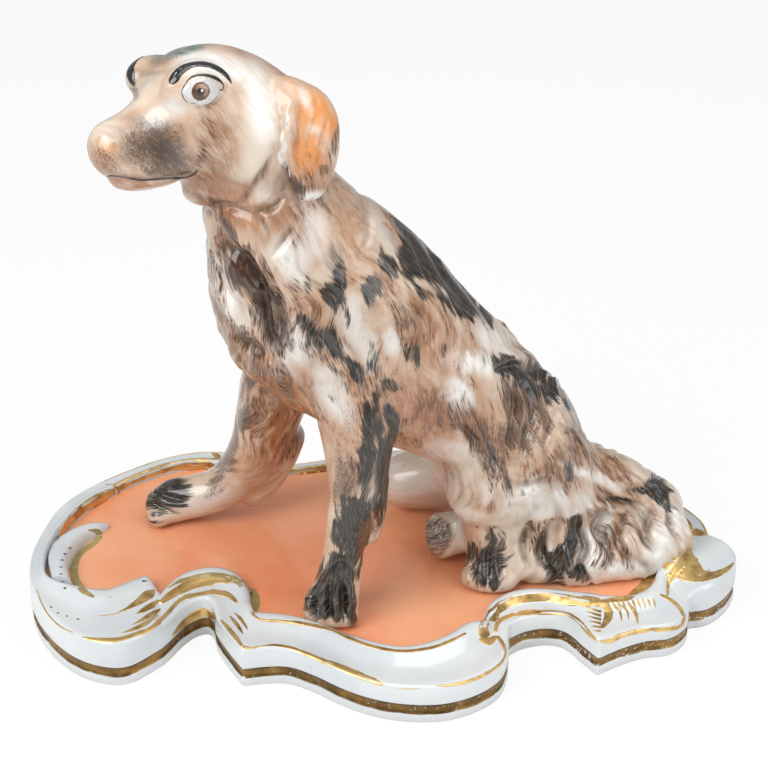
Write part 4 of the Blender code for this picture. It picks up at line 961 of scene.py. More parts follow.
class Nodes:
    """Adds nodes to a tree. A socket, a number or a colour can feed any input."""

    def __init__(self, tree):
        self.tree = tree

    def feed(self, socket, value):
        if isinstance(value, bpy.types.NodeSocket):
            self.tree.links.new(value, socket)
        elif isinstance(value, tuple) and len(value) == 3 and socket.type == "RGBA":
            socket.default_value = (*value, 1.0)
        else:
            socket.default_value = value

    def node(self, kind, out, inputs, **settings):
        """Adds a node, feeds its inputs and returns its output out."""
        made = self.tree.nodes.new("ShaderNode" + kind)
        for key, value in settings.items():
            setattr(made, key, value)
        for key, value in inputs.items():
            self.feed(made.inputs[key], value)
        return made.outputs[out]

    def math(self, operation, a, b=0.0, c=0.0):
        return self.node("Math", 0, {0: a, 1: b, 2: c}, operation=operation)

    def times(self, a, b):
        return self.math("MULTIPLY", a, b)

    def scaled(self, a, factor, offset):
        return self.math("MULTIPLY_ADD", a, factor, offset)

    def plus(self, a, b):
        return self.math("ADD", a, b)

    def minus(self, a, b):
        return self.math("SUBTRACT", a, b)

    def length(self, x, y):
        return self.node("VectorMath", 1, {0: self.join(x, y)}, operation="LENGTH")

    def ramp(self, value, low, high, to_low=0.0, to_high=1.0):
        inputs = {0: value, 1: low, 2: high, 3: to_low, 4: to_high}
        return self.node("MapRange", 0, inputs, interpolation_type="SMOOTHSTEP")

    def mix(self, share, a, b):
        return self.node("Mix", 2, {0: share, 6: a, 7: b}, data_type="RGBA")

    def number(self, name):
        """A number stored at the mesh's points."""
        return self.node("Attribute", 2, {}, attribute_name=name)

    def place(self):
        """The place in metres, in the object's own frame."""
        return self.node("TexCoord", 3, {})

    def noise(self, vector, scale, detail=2.0, rough=0.5):
        inputs = {"Vector": vector, "Scale": scale, "Detail": detail, "Roughness": rough}
        return self.node("TexNoise", 0, inputs)

    def join(self, x, y, z=0.0):
        return self.node("CombineXYZ", 0, {0: x, 1: y, 2: z})

    def bump(self, height, distance_mm, strength=1.0):
        inputs = {"Strength": strength, "Distance": distance_mm * MM, "Height": height}
        return self.node("Bump", 0, inputs)


class Shader(Nodes):
    """Builds one material."""

    def __init__(self, name):
        self.material = bpy.data.materials.new(name)
        self.material.use_nodes = True
        super().__init__(self.material.node_tree)
        self.surface = self.tree.nodes["Principled BSDF"]

    def finish(self, **inputs):
        for key, value in inputs.items():
            self.feed(self.surface.inputs[key.replace("_", " ")], value)
        return self.material


def glaze(shader, colour, roughness, normal=None, coat=0.6):
    """Fired glaze: a hard clear coat over the painted colour."""
    shader.finish(Base_Color=colour, Roughness=roughness, IOR=1.5, Coat_Weight=coat,
                  Coat_Roughness=0.06, Subsurface_Weight=0.04, Subsurface_Scale=0.001)
    if normal is not None:
        shader.finish(Normal=normal, Coat_Normal=normal)
    return shader.material


def add_numbers(mesh, **columns):
    """Stores numbers at the mesh's points, under the names given."""
    for name, values in columns.items():
        made = mesh.attributes.new(name, "FLOAT", "POINT")
        made.data.foreach_set("value", np.asarray(values, np.float32))


# The dog: one skin, the lie of its hair, and relief


def dog_skin():
    """One even skin over all the castings, with their luted joints closed."""
    joined = bmesh.new()
    for name in DOG_NODES:
        piece = bmesh.new()
        piece.from_mesh(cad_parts[name].data)
        bmesh.ops.remove_doubles(piece, verts=piece.verts[:], dist=WELD_M)
        piece.normal_update()
        for vert in piece.verts:
            vert.co += vert.normal * SEAM_GROWTH_MM * MM
        part = bpy.data.meshes.new(name + "_grown")
        piece.to_mesh(part)
        piece.free()
        joined.from_mesh(part)
        bpy.data.meshes.remove(part)
    mesh = bpy.data.meshes.new("dog_rough")
    joined.to_mesh(mesh)
    joined.free()
    rough = link("dog_rough", mesh)
    remesh = rough.modifiers.new("fuse", "REMESH")
    remesh.mode = "VOXEL"
    remesh.voxel_size = DOG_VOXEL_MM * MM
    smooth = rough.modifiers.new("smooth", "SMOOTH")
    smooth.factor = SMOOTH_FACTOR
    smooth.iterations = SMOOTH_PASSES
    dog = evaluated(rough, "painted_dog")
    dog.data.materials.clear()
    return dog


def edge_ends(mesh):
    ends = np.empty(len(mesh.edges) * 2, np.int32)
    mesh.edges.foreach_get("vertices", ends)
    return ends.reshape(-1, 2)


def keep_largest(obj):
    """Removes every loose part but the largest."""
    ends = edge_ends(obj.data)
    count = len(obj.data.vertices)
    label = np.arange(count)
    while True:
        low = np.minimum(label[ends[:, 0]], label[ends[:, 1]])
        new = label.copy()
        np.minimum.at(new, ends[:, 0], low)
        np.minimum.at(new, ends[:, 1], low)
        new = new[new]
        if (new == label).all():
            break
        label = new
    kinds, sizes = np.unique(label, return_counts=True)
    bm = bmesh.new()
    bm.from_mesh(obj.data)
    bm.verts.ensure_lookup_table()
    gone = [bm.verts[i] for i in np.nonzero(label != kinds[sizes.argmax()])[0]]
    bmesh.ops.delete(bm, geom=gone, context="VERTS")
    bm.to_mesh(obj.data)
    bm.free()


def unit(rows):
    """The rows as directions of length 1."""
    return rows / (np.linalg.norm(rows, axis=1)[:, None] + 1e-9)


def flattened(ways, normals):
    """Unit directions that lie in the surface."""
    return unit(ways - (ways * normals).sum(1)[:, None] * normals)


def smoothed(values, ends, passes):
    """Averages values over the mesh's edges."""
    count = len(values)
    i, j = ends.T
    share = 1.0 / (1 + np.bincount(i, minlength=count) + np.bincount(j, minlength=count))
    flat = values.reshape(count, -1)
    for _ in range(passes):
        total = flat.copy()
        for k in range(flat.shape[1]):
            total[:, k] += np.bincount(i, flat[j, k], count) + np.bincount(j, flat[i, k], count)
        flat = total * share[:, None]
    return flat.reshape(values.shape)


def coordinate_along(points, ends, field, passes):
    """A number at each point, in mm, whose slope over the surface follows the field."""
    count = len(points)
    i, j = ends.T
    step = (0.5 * (field[i] + field[j]) * (points[j] - points[i])).sum(1)
    degree = np.bincount(i, minlength=count) + np.bincount(j, minlength=count) + 1e-6
    wanted = np.bincount(j, step, count) - np.bincount(i, step, count)

    def slope(values):
        change = values[j] - values[i]
        return np.bincount(j, change, count) - np.bincount(i, change, count)

    made = np.zeros(count)
    rest = wanted.copy()
    ready = rest / degree
    heading = ready.copy()
    size = rest @ ready
    for _ in range(passes):
        change = slope(heading)
        share = size / (heading @ change + 1e-12)
        made += share * heading
        rest -= share * change
        ready = rest / degree
        new = rest @ ready
        heading = ready + new / size * heading
        size = new
    return made


def curled(along, across):
    """Bends the two hair coordinates so that the strokes of the brush curl."""
    u, v = along / CURL_REACH_MM, across / CURL_REACH_MM
    lengthways = CURL_MM * (2 * noise(u, v, seed=31) - 1)
    sideways = CURL_MM * (2 * noise(u, v, seed=32) - 1)
    return along + lengthways, across + sideways


def lock_relief(along, across):
    """Wavy locks with finer hair on them, from about -1 to 1, and where their grooves lie."""
    drift = 5 * noise(along / 40, across / 25, seed=3)
    warped = across + LOCK_SWAY_MM * np.sin(2 * math.pi * along / LOCK_WAVE_MM + drift)
    wide = noise(warped / LOCK_WIDTH_MM, along / LOCK_LENGTH_MM, seed=11)
    crest = 1 - np.abs(2 * wide - 1)
    broad = noise(warped / (2 * LOCK_WIDTH_MM), along / (1.6 * LOCK_LENGTH_MM), seed=13)
    swell = 1 - np.abs(2 * broad - 1)
    narrow = noise(warped / HAIR_WIDTH_MM, along / HAIR_LENGTH_MM, seed=12)
    groove = np.maximum(1 - ramp(crest, 0.0, 0.3), 1 - ramp(swell, 0.0, 0.18))
    height = 1.1 * np.sqrt(crest) + 1.0 * np.sqrt(swell) + 0.5 * (narrow - 0.5)
    return height - 1.5, groove


def all_combs():
    """The combs, and those of the body once more on its far side."""
    combs = np.array(list(COMBS.values()))
    body = combs[[name.startswith(MIRRORED_COMBS) for name in COMBS]]
    far = mirrored(body[:, :3], body_frame())
    ways = mirrored(body[:, :3] + body[:, 3:6], body_frame()) - far
    return np.vstack([combs, np.column_stack([far, ways, body[:, 6]])])


def lie_of_hair(points, normals, ends):
    """Direction of the hair and depth of its locks at each point."""
    flow, depth, weights = np.zeros_like(points), np.zeros(len(points)), np.zeros(len(points))
    for comb in all_combs():
        square = ((points - comb[:3]) ** 2).sum(1)
        near = np.exp(-square / (2 * COMB_REACH_MM**2))
        pull = near + FAR_COMB_SHARE / (1 + square / FAR_COMB_REACH_MM**2)
        flow += pull[:, None] * comb[3:6] / np.linalg.norm(comb[3:6])
        depth += (near + LEAST_COMB_SHARE) * comb[6]
        weights += near + LEAST_COMB_SHARE
    flow = smoothed(flattened(flow, normals), ends, FLOW_PASSES)
    return flattened(flow, normals), depth / weights


# The frames of the body and the head, and the photograph's picture plane


def body_frame():
    shift = Matrix.Translation(Vector((0.0, BODY_OFFSET_Y, 0.0)))
    return np.array(shift @ Matrix.Rotation(math.radians(BODY_TURN), 4, "Z"))


def head_frame():
    """Maps the head's frame (x forward, y to the dog's left, z up) to the figure's."""
    place = Matrix.Translation(Vector(HEAD_ORIGIN))
    yaw = Matrix.Rotation(math.pi + math.radians(HEAD_YAW), 4, "Z")
    roll = Matrix.Rotation(math.radians(HEAD_ROLL), 4, "X")
    return np.array(place @ yaw @ roll)


def folded(points, frame_matrix, near_sign):
    """The points with those on the far side moved to their twins on the near side."""
    turn, origin = frame_matrix[:3, :3], frame_matrix[:3, 3]
    local = (points - origin) @ turn
    local[:, 1] = near_sign * np.abs(local[:, 1])
    return local @ turn.T + origin


def mirrored(points, frame_matrix, outward=0.0):
    """The same places on the frame's other side, or that much farther out."""
    turn, origin = frame_matrix[:3, :3], frame_matrix[:3, 3]
    return ((points - origin) @ turn * (1, -1, 1) - (0, outward, 0)) @ turn.T + origin


def camera_place():
    tilt = math.radians(CAMERA_ELEVATION)
    back = np.array([0.0, -math.cos(tilt), math.sin(tilt)])
    return np.array(CAMERA_TARGET_MM) + back * CAMERA_DISTANCE_MM


def picture_axes():
    """The camera's right, up and forward directions."""
    tilt = math.radians(CAMERA_ELEVATION)
    right = np.array([1.0, 0.0, 0.0])
    up = np.array([0.0, math.sin(tilt), math.cos(tilt)])
    return right, up, np.cross(up, right)


def focal_pixels():
    return CAMERA_LENS / SENSOR_MM * PICTURE_SIZE


def in_picture(points):
    """Pixel places of the points, in a frame of PICTURE_SIZE pixels each way."""
    right, up, ahead = picture_axes()
    local = points - camera_place()
    depth = local @ ahead
    middle = PICTURE_SIZE / 2
    return np.stack([middle + focal_pixels() * (local @ right) / depth,
                     middle - focal_pixels() * (local @ up) / depth], axis=1)


def picture_ray(u, v):
    """The camera's place, and the direction from it through a pixel."""
    right, up, ahead = picture_axes()
    middle = PICTURE_SIZE / 2
    heading = ahead * focal_pixels() + right * (u - middle) - up * (v - middle)
    return camera_place(), heading / np.linalg.norm(heading)


# Paint on the dog


def region_shares(points):
    """For each casting, how much of it there is at each point, fading past its edges."""
    shares = {}
    for name in DOG_NODES:
        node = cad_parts[name]
        cast = points_of(node.data)
        faces = [tuple(face.vertices) for face in node.data.polygons]
        tree = BVHTree.FromPolygons(cast.tolist(), faces)
        low, high = cast.min(0) - REGION_FADE_MM, cast.max(0) + REGION_FADE_MM
        far = np.full(len(points), REGION_FADE_MM)
        for i in np.nonzero(((points > low) & (points < high)).all(1))[0]:
            far[i] = tree.find_nearest(Vector(points[i]))[3]
        shares[name] = 1 - ramp(far, REGION_SOLID_MM, REGION_FADE_MM)
    return shares


def share_of(parts, regions):
    """How much of a group of castings there is at each point."""
    return np.max([regions[part] for part in PARTS[parts]], axis=0)


def paint_shares(sides, regions, along, across):
    """How much of each pigment lies at each point."""
    fray = 0.8 * (noise(along / 7, across / 1.1, seed=21) - 0.5)
    fray += 0.7 * (noise(along / 6, across / 5, seed=22) - 0.5)
    fray *= 1 - 0.7 * regions["head"]
    made = {name: np.zeros(len(along)) for name in PIGMENTS}
    for (parts, pigment), patches in PAINT.items():
        where = share_of(parts, regions)
        for strength, u, v, half_length, half_width, angle in patches.values():
            turn = math.radians(angle)
            lengthways = np.array([math.cos(turn), math.sin(turn)]) / half_length
            sideways = np.array([-math.sin(turn), math.cos(turn)]) / half_width
            cover = np.zeros(len(along))
            for places, share in sides:
                offset = places - (u, v)
                far = np.hypot(offset @ lengthways, offset @ sideways) + fray
                cover += share * (1 - ramp(far, PATCH_SOLID, PATCH_END))
            made[pigment] = np.maximum(made[pigment], strength * cover * where)
    return made


def picture_sides(points, normals, regions):
    """Each point's pixel and how far it faces the camera, from 0 to 1, then its near twin's
    pixel and the rest of that share."""
    on_body = (regions["torso"] > 0.5)[:, None]
    on_head = (share_of("head_ear", regions) > 0.5)[:, None]
    twin = np.where(on_body, folded(points, body_frame(), -1), points)
    twin = np.where(on_head, folded(points, head_frame(), 1), twin)
    to_camera = unit(camera_place() - points)
    facing = ramp((normals * to_camera).sum(1), FACING_AWAY, FACING_CAMERA)
    return (in_picture(points), facing), (in_picture(twin), 1 - facing)


def carving(sides, regions):
    """Height of the sculpted folds and ridges at each point, in mm."""
    height = np.zeros(len(sides[0][0]))
    for parts, folds in CARVING.items():
        where = share_of(parts, regions)
        for depth, half_width, track in folds.values():
            line = spline(track, CARVING_STEPS)
            taper = 0.35 + 0.65 * np.sin(np.linspace(0, math.pi, len(line)))
            reach = CARVING_REACH * half_width / MM_PER_PIXEL
            low, high = line.min(0) - reach, line.max(0) + reach
            for places, share in sides:
                inside = ((places > low) & (places < high)).all(1)
                near = np.nonzero(inside & (where * share > 0))[0]
                if len(near) == 0:
                    continue
                far = np.hypot(*(places[near, None, :] - line[None]).transpose(2, 0, 1))
                closest = far.argmin(1)
                width = half_width * (0.5 + 0.5 * taper[closest])
                profile = np.exp(-((far.min(1) * MM_PER_PIXEL / width) ** 2))
                height[near] += depth * taper[closest] * profile * (share * where)[near]
    return height


def stroked(shader, density, strokes, soft, contrast=STROKE_CONTRAST):
    """Pigment laid in strokes: they cover more as the density rises from 0 to 1."""
    level = shader.scaled(strokes, contrast, 0.5 - 0.5 * contrast)
    lift = shader.scaled(density, 1.0 + 2 * soft, -soft)
    return shader.ramp(shader.plus(level, lift), 1.0 - soft, 1.0 + soft)


def hair_grain(sh, scale_along, scale_across):
    """Noise that is stretched along the hair."""
    along = sh.times(sh.number("along"), scale_along)
    across = sh.times(sh.number("across"), scale_across)
    return sh.noise(sh.join(along, across), 1.0, 3.0)


def coat_material():
    """Painted hair: a pale ground, washes, then brown and black strokes along the hair."""
    sh = Shader("painted_coat")
    place, mottle = sh.place(), sh.number("mottle")

    # Grain that runs along the hair, and grain without a direction
    fine = hair_grain(sh, *FINE_GRAIN)
    broad = hair_grain(sh, *BROAD_GRAIN)
    strokes = sh.scaled(fine, 0.35, sh.times(broad, 0.65))
    cloud = sh.noise(place, CLOUD_SCALE, 3.0)
    dab = sh.noise(place, DAB_SCALE, 3.0, 0.6)
    grain = sh.noise(place, SPECKLE_SCALE, 3.0, 0.6)

    # Cream ground, tan shades and the washes of each pigment
    pale = sh.mix(sh.ramp(cloud, 0.35, 0.6), COAT["cream"], COAT["warm_cream"])
    pale = sh.mix(sh.times(mottle, 0.3), pale, COAT["dun"])
    tone = sh.scaled(cloud, 0.6, sh.times(strokes, 0.4))
    shade_of_hair = sh.times(sh.ramp(tone, 0.42, 0.62, 0.05, 0.8), mottle)
    colour = sh.mix(shade_of_hair, pale, COAT["tan"])
    for name in WASHES:
        wash = sh.times(sh.number(name), sh.ramp(strokes, 0.3, 0.6, 0.35, 1.0))
        colour = sh.mix(wash, colour, COAT[name])
    light = sh.times(stroked(sh, 0.3, broad, 0.25), sh.number("hair"))
    colour = sh.mix(sh.times(light, 0.45), colour, COAT["cream"])
    # Darker in the grooves of the locks and in the cut folds: pooled brown paint and painted shade
    pooled_brown_and_shade = sh.times(sh.number("groove"), sh.ramp(strokes, 0.35, 0.6, 0.35, 0.85))
    colour = sh.mix(pooled_brown_and_shade, colour, COAT["groove"])

    # Brown strokes, thick in the patches and scattered where the coat is mottled
    kept = sh.minus(1.0, sh.times(sh.number("white"), 0.75))
    clump = sh.times(sh.ramp(cloud, 0.44, 0.64, 0.12, 0.6), mottle)
    scattered = sh.times(clump, kept)
    brown = sh.math("MAXIMUM", sh.number("brown"), scattered)
    thick = sh.scaled(brown, 0.35, sh.times(strokes, 0.8))
    hue = sh.mix(sh.ramp(thick, 0.45, 0.85), COAT["worn_brown"], COAT["brown"])
    thin = sh.ramp(fine, 0.40, 0.62, 0.35, 1.0)
    thin = sh.math("MAXIMUM", thin, sh.minus(brown, 0.6))
    cover = sh.times(stroked(sh, brown, strokes, 0.3, DARK_CONTRAST), thin)
    colour = sh.mix(cover, colour, hue)
    sponge = stroked(sh, sh.times(scattered, 0.75), dab, 0.25)
    colour = sh.mix(sh.times(sponge, 0.55), colour, COAT["worn_brown"])
    dots = stroked(sh, sh.number("speckle"), grain, 0.4)
    colour = sh.mix(sh.times(dots, 0.75), colour, COAT["speckle"])

    # Black bristles over a soft halo
    black = sh.number("black")
    bristles = sh.scaled(fine, 0.6, sh.times(broad, 0.4))
    halo = stroked(sh, sh.times(black, 1.4), bristles, 0.4, BRISTLE_CONTRAST)
    colour = sh.mix(sh.times(halo, 0.65), colour, COAT["halo"])
    dark = sh.mix(sh.ramp(broad, 0.35, 0.7), COAT["black"], COAT["worn_black"])
    thin = sh.ramp(fine, 0.32, 0.54, 0.6, 1.0)
    cover = sh.times(stroked(sh, black, bristles, 0.4, BRISTLE_CONTRAST), thin)
    colour = sh.mix(cover, colour, dark)
    height = sh.times(strokes, sh.number("hair"))
    return glaze(sh, colour, 0.25, sh.bump(height, 0.25, 0.6), 0.5)


def make_dog():
    """The dog in one piece: fused castings, carved hair and folds, and the painted coat."""
    dog = dog_skin()
    keep_largest(dog)
    points, normals = points_of(dog.data), normals_of(dog.data)
    ends = edge_ends(dog.data)
    flow, depth = lie_of_hair(points, normals, ends)
    across_way = np.cross(normals, flow) * np.tanh(-SIDE_CHANGE * normals[:, 1:2])
    along = coordinate_along(points, ends, flow, SOLVE_PASSES)
    across = coordinate_along(points, ends, across_way, SOLVE_PASSES)
    along, across = curled(along, across)
    regions = region_shares(points)
    sides = picture_sides(points, normals, regions)
    paint = paint_shares(sides, regions, along, across)
    relief, groove = lock_relief(along, across)
    relief *= LOCK_HEIGHT
    face = share_of("head_ear", regions)
    folds = FOLD_HEIGHT * (1 - 0.5 * face) * carving(sides, regions)
    set_points(dog.data, points + normals * (depth * relief + folds)[:, None])
    shade(dog)
    hair = ramp(depth, 0.02, 0.4)
    # Where the coat is painted darker in grooves and folds: pooled brown paint and painted shade
    groove = np.maximum(groove * hair * 0.7, ramp(-folds * (1 + 2 * face), 0.3, 2.6))
    furry = [regions[name] * share for name, share in MOTTLED.items()]
    mottle = ramp(depth, 0.02, 0.25) * np.max(furry, axis=0)
    add_numbers(dog.data, along=along, across=across, hair=hair, groove=groove, mottle=mottle,
                **paint)
    dog.data.materials.append(coat_material())
    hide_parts(*DOG_NODES)
    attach(dog, "root")
    return dog


# Thin raised paint: enamel on the dog and gilding on the plinth, with painted highlights, shade and
# reflection among them


class Surface:
    """Finds places on a finished mesh, in drawing millimetres."""

    def __init__(self, *objects):
        points, faces = [], []
        for obj in objects:
            base = len(points)
            points.extend(points_of(obj.data).tolist())
            faces.extend([base + i for i in face.vertices] for face in obj.data.polygons)
        self.tree = BVHTree.FromPolygons(points, faces)

    def hit(self, origin, heading):
        place, normal, _, _ = self.tree.ray_cast(Vector(origin), Vector(heading))
        return None if place is None else (np.array(place), np.array(normal))

    def seen(self, u, v):
        """The place at a pixel of the photograph."""
        return self.hit(*picture_ray(u, v))

    def below(self, x, y):
        """The highest place over a point of the plan."""
        return self.hit((x, y, HIGH_ABOVE_MM), (0.0, 0.0, -1.0))

    def nearest(self, point):
        place, normal, _, _ = self.tree.find_nearest(Vector(point))
        return np.array(place), np.array(normal)


def track_through(rows, aim):
    """Places, normals and half widths along a stroke of rows: two aiming numbers, half width."""
    track = []
    for a, b, half_width in spline(rows, STROKE_STEPS):
        found = aim(a, b)
        if found is not None:
            track.append((*found, max(half_width, THIN_STROKE_MM)))
    return track


def side_of(track, i):
    """The way across a stroke at one of its places."""
    last = len(track) - 1
    way = track[min(i + 1, last)][0] - track[max(i - 1, 0)][0]
    side = np.cross(track[i][1], way)
    return side / (np.linalg.norm(side) + 1e-9)


def as_seen(track):
    """Widens a stroke where its surface lies slanted, so that it looks as wide as stated."""
    made = []
    for i, (place, normal, half_width) in enumerate(track):
        pair = in_picture(np.array([place, place + side_of(track, i)]))
        seen = np.linalg.norm(pair[1] - pair[0]) * MM_PER_PIXEL
        made.append((place, normal, BRUSH_SPREAD * half_width / max(seen, LEAST_SEEN)))
    return made


def twin_track(track, surface, shift=None):
    """The same stroke on the other side of the head. A shift moves its front end by that
    much, and the rest of it outward."""
    made = []
    for i, (place, _, half_width) in enumerate(track):
        other = mirrored(place, head_frame())
        if shift is not None:
            share = max(0.0, 1 - i / (MOVED_SHARE * len(track)))
            outward = BROW_OUTWARD_MM * (1 - share)
            other = mirrored(place, head_frame(), outward) + share * shift
        made.append((*surface.nearest(other), half_width))
    return made


def stroke_rings(surface, track, height):
    """Closed sections of a low raised stroke that hugs the surface."""
    rings = []
    for i, (place, _, half_width) in enumerate(track):
        side = side_of(track, i)
        ring = []
        for share, rise in STROKE_SECTION:
            spot, out = surface.nearest(place + side * share * half_width)
            ring.append(spot + out * rise * height)
        rings.append(ring)
    return rings


def add_loft(points, faces, rings, closed=False):
    """Adds the faces of a tube through the rings, capped unless it closes on itself."""
    base, size, count = len(points), len(rings[0]), len(rings)
    for ring in rings:
        points.extend(ring)
    for k in range(count if closed else count - 1):
        low, high = base + k * size, base + (k + 1) % count * size
        for i in range(size):
            j = (i + 1) % size
            faces.append((low + i, low + j, high + j, high + i))
    if not closed:
        faces.append(tuple(range(base + size - 1, base - 1, -1)))
        faces.append(tuple(range(base + (count - 1) * size, base + count * size)))


def paint_strokes(name, surface, tracks, height, material):
    """One mesh of raised strokes along the tracks."""
    points, faces = [], []
    for track in tracks:
        if len(track) > 2:
            add_loft(points, faces, stroke_rings(surface, track, height))
    finish_piece(mesh_from(name, points, faces), material)


def finish_piece(obj, material, angle=None):
    """Faces outward, rounded shading, a material, and a ride on the one body."""
    bm = bmesh.new()
    bm.from_mesh(obj.data)
    bmesh.ops.recalc_face_normals(bm, faces=bm.faces[:])
    bm.to_mesh(obj.data)
    bm.free()
    shade(obj, angle)
    obj.data.materials.clear()
    obj.data.materials.append(material)
    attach(obj, "root")


def dot_tracks(pixels, radius, surface):
    """Short round strokes at pixels of the photograph."""
    reach = radius / MM_PER_PIXEL
    return [track_through([(u + share * reach, v, radius * width) for share, width in DOT_SECTION],
                          surface.seen)
            for u, v in pixels]


def tick_rows(count, pixels):
    """Strokes side by side, each one step along from the one before."""
    return [[(u + du * i, v + dv * i, half_width) for u, v, du, dv, half_width in pixels]
            for i in range(count)]


# The face


def make_eye(surface, name, place, tilt):
    """A slightly domed eyeball at a place and normal, painted in rings by its material."""
    centre, normal = place
    up = np.array([0.0, 0.0, 1.0]) - normal * normal[2]
    up /= np.linalg.norm(up)
    side = np.cross(up, normal)
    turn = math.radians(tilt)
    side, up = (side * math.cos(turn) + up * math.sin(turn),
                up * math.cos(turn) - side * math.sin(turn))
    rings, places = [], []
    for ring in range(1, EYE_RINGS + 1):
        share = ring / EYE_RINGS
        lift = EYE_DOME_MM * (1 - share**2) + (EYE_EDGE_MM if ring < EYE_RINGS else -EYE_SUNK_MM)
        made = []
        for spoke in range(EYE_SPOKES):
            angle = 2 * math.pi * spoke / EYE_SPOKES
            pinch = 1 - EYE_PINCH * abs(math.cos(angle)) ** 3
            x = share * EYE_HALF_LENGTH_MM * math.cos(angle)
            y = share * EYE_HALF_HEIGHT_MM * math.sin(angle) * pinch
            spot, out = surface.nearest(centre + side * x + up * y)
            made.append(spot + out * lift)
            places.append((x, y))
        rings.append(made)
    points, faces = [], []
    add_loft(points, faces, rings)
    eye = mesh_from(name, points, faces)
    add_numbers(eye.data, right=[x for x, _ in places], above=[y for _, y in places])
    finish_piece(eye, eye_material())


def eye_material():
    sh = Shader("painted_eye")
    right, above = sh.number("right"), sh.number("above")
    across = sh.minus(right, IRIS_OFFSET_MM)
    brush = sh.noise(sh.place(), 1500.0, 2.0)
    far = sh.plus(sh.length(across, above), sh.scaled(brush, 0.3, -0.15))
    white = sh.mix(sh.ramp(brush, 0.3, 0.7), *EYE_WHITE)
    lit = sh.ramp(sh.plus(above, across), -1.6, 1.2)
    iris = sh.mix(lit, *IRIS)
    colour = sh.mix(sh.ramp(far, IRIS_RADIUS_MM - 0.15, IRIS_RADIUS_MM + 0.12), iris, white)
    rim = sh.math("ABSOLUTE", sh.minus(far, IRIS_RADIUS_MM - 0.35))
    colour = sh.mix(sh.ramp(rim, 0.1, 0.55, 0.7, 0.0), colour, IRIS_RIM)
    colour = sh.mix(sh.ramp(far, *PUPIL_MM, 1.0, 0.0), colour, PUPIL)
    glint = sh.length(sh.minus(across, GLINT_MM), sh.minus(above, GLINT_MM))
    colour = sh.mix(sh.ramp(glint, 0.3, 0.5, 1.0, 0.0), colour, GLINT)
    return glaze(sh, colour, 0.08)


def enamel_and_painted_light_material(name, low, high):
    """Shiny overglaze colour, thinner where the brush ran dry. It also colours the painted highlights
    on the face and the painted shade and reflection on the wave's gilding.
    """
    sh = Shader(name)
    place = sh.place()
    share = sh.ramp(sh.noise(place, 350.0, 3.0), 0.3, 0.7)
    fine = sh.noise(place, 1800.0, 2.0)
    return glaze(sh, sh.mix(share, low, high), 0.12, sh.bump(fine, 0.04, 0.4))


def make_face(dog):
    """Eyes, painted lines and painted highlights on the near side of the face, and their twins on the
    far side.
    """
    skin = Surface(dog)
    place = skin.seen(*NEAR_EYE_PIXEL)
    make_eye(skin, "near_eye", place, EYE_TILT)
    make_eye(skin, "far_eye", skin.nearest(mirrored(place[0], head_frame())), -EYE_TILT)
    far_brow, near_brow = skin.seen(*FAR_BROW_PIXEL)[0], skin.seen(*NEAR_BROW_PIXEL)[0]
    brow_shift = far_brow - mirrored(near_brow, head_frame())
    for name, (strokes, height, colours) in FACE_PAINT.items():
        tracks = [track_through(rows, skin.seen) for rows in strokes.values()]
        shift = brow_shift if strokes is BROW_STROKES else None
        tracks += [twin_track(track, skin, shift) for track in tracks]
        paint_strokes(name, skin, tracks, height, enamel_and_painted_light_material(name, *colours))


# The plinth: one smooth rim over all the rim castings, and the deck's coral ground


def rim_rows():
    """Fine stations round the whole rim, and the name of the casting each belongs to."""
    rows, names = [], []
    for name, stations in RIM.items():
        for row in spline(stations, RUN_STEPS):
            if not rows or np.hypot(*(row[:2] - rows[-1][:2])) > CLOSE_STATIONS_MM:
                rows.append(row)
                names.append(name)
    return np.array(rows), names


def blended(rows):
    """Evens out the steps between neighbouring castings, round the closed rim."""
    return 0.25 * np.roll(rows, 1, 0) + 0.5 * rows + 0.25 * np.roll(rows, -1, 0)


def outline_normals(rows):
    """Inward unit normals in plan."""
    along = np.roll(rows[:, :2], -1, 0) - np.roll(rows[:, :2], 1, 0)
    inward = np.stack([-along[:, 1], along[:, 0]], axis=1)
    return unit(inward)


def across_ring(row, profile):
    """Places across one station, with their heights over the levels the profile names."""
    outer, inner, ridge, crest = row[:2], row[2:4], row[4], row[5]
    across = inner - outer
    hollow = min(ridge, crest) - HOLLOW_DEPTH_MM * min(1.0, np.hypot(*across) / FULL_WIDTH_MM)
    level = {"seat": DECK_Z, "ridge": ridge, "hollow": hollow, "crest": crest}
    return [(*(outer + across * share), level[base] + rise) for share, base, rise in profile]


def rim_ring(row, inward):
    """One section: up the wall, over the ridge, hollow and crest, and down to the deck."""
    wall = [(*(row[:2] + inward * (depth - WALL_LIFT_MM)), z) for depth, z in WALL_PROFILE]
    return wall + across_ring(row, TOP_PROFILE)


def make_rim():
    """One glazed piece for the rim's sections and the leaf."""
    rows = blended(rim_rows()[0])
    rings = [rim_ring(row, way) for row, way in zip(rows, outline_normals(rows))]
    leaf = [across_ring(row, LEAF_PROFILE) for row in spline(SCROLL_LEAF, RUN_STEPS)]
    points, faces = [], []
    add_loft(points, faces, rings, closed=True)
    add_loft(points, faces, leaf)
    rim = mesh_from("glazed_rim", points, faces)
    finish_piece(rim, rim_material(), RIM_SHARP_DEGREES)
    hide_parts("left_scroll_leaf", *RIM)
    return rim


def gold_colour(sh, place):
    """Rubbed matt gilding: bright and brown gold in cloudy patches."""
    share = sh.ramp(sh.noise(place, 160.0, 4.0, 0.6), 0.30, 0.60)
    return sh.mix(share, GOLD_DARK, GOLD_BRIGHT)


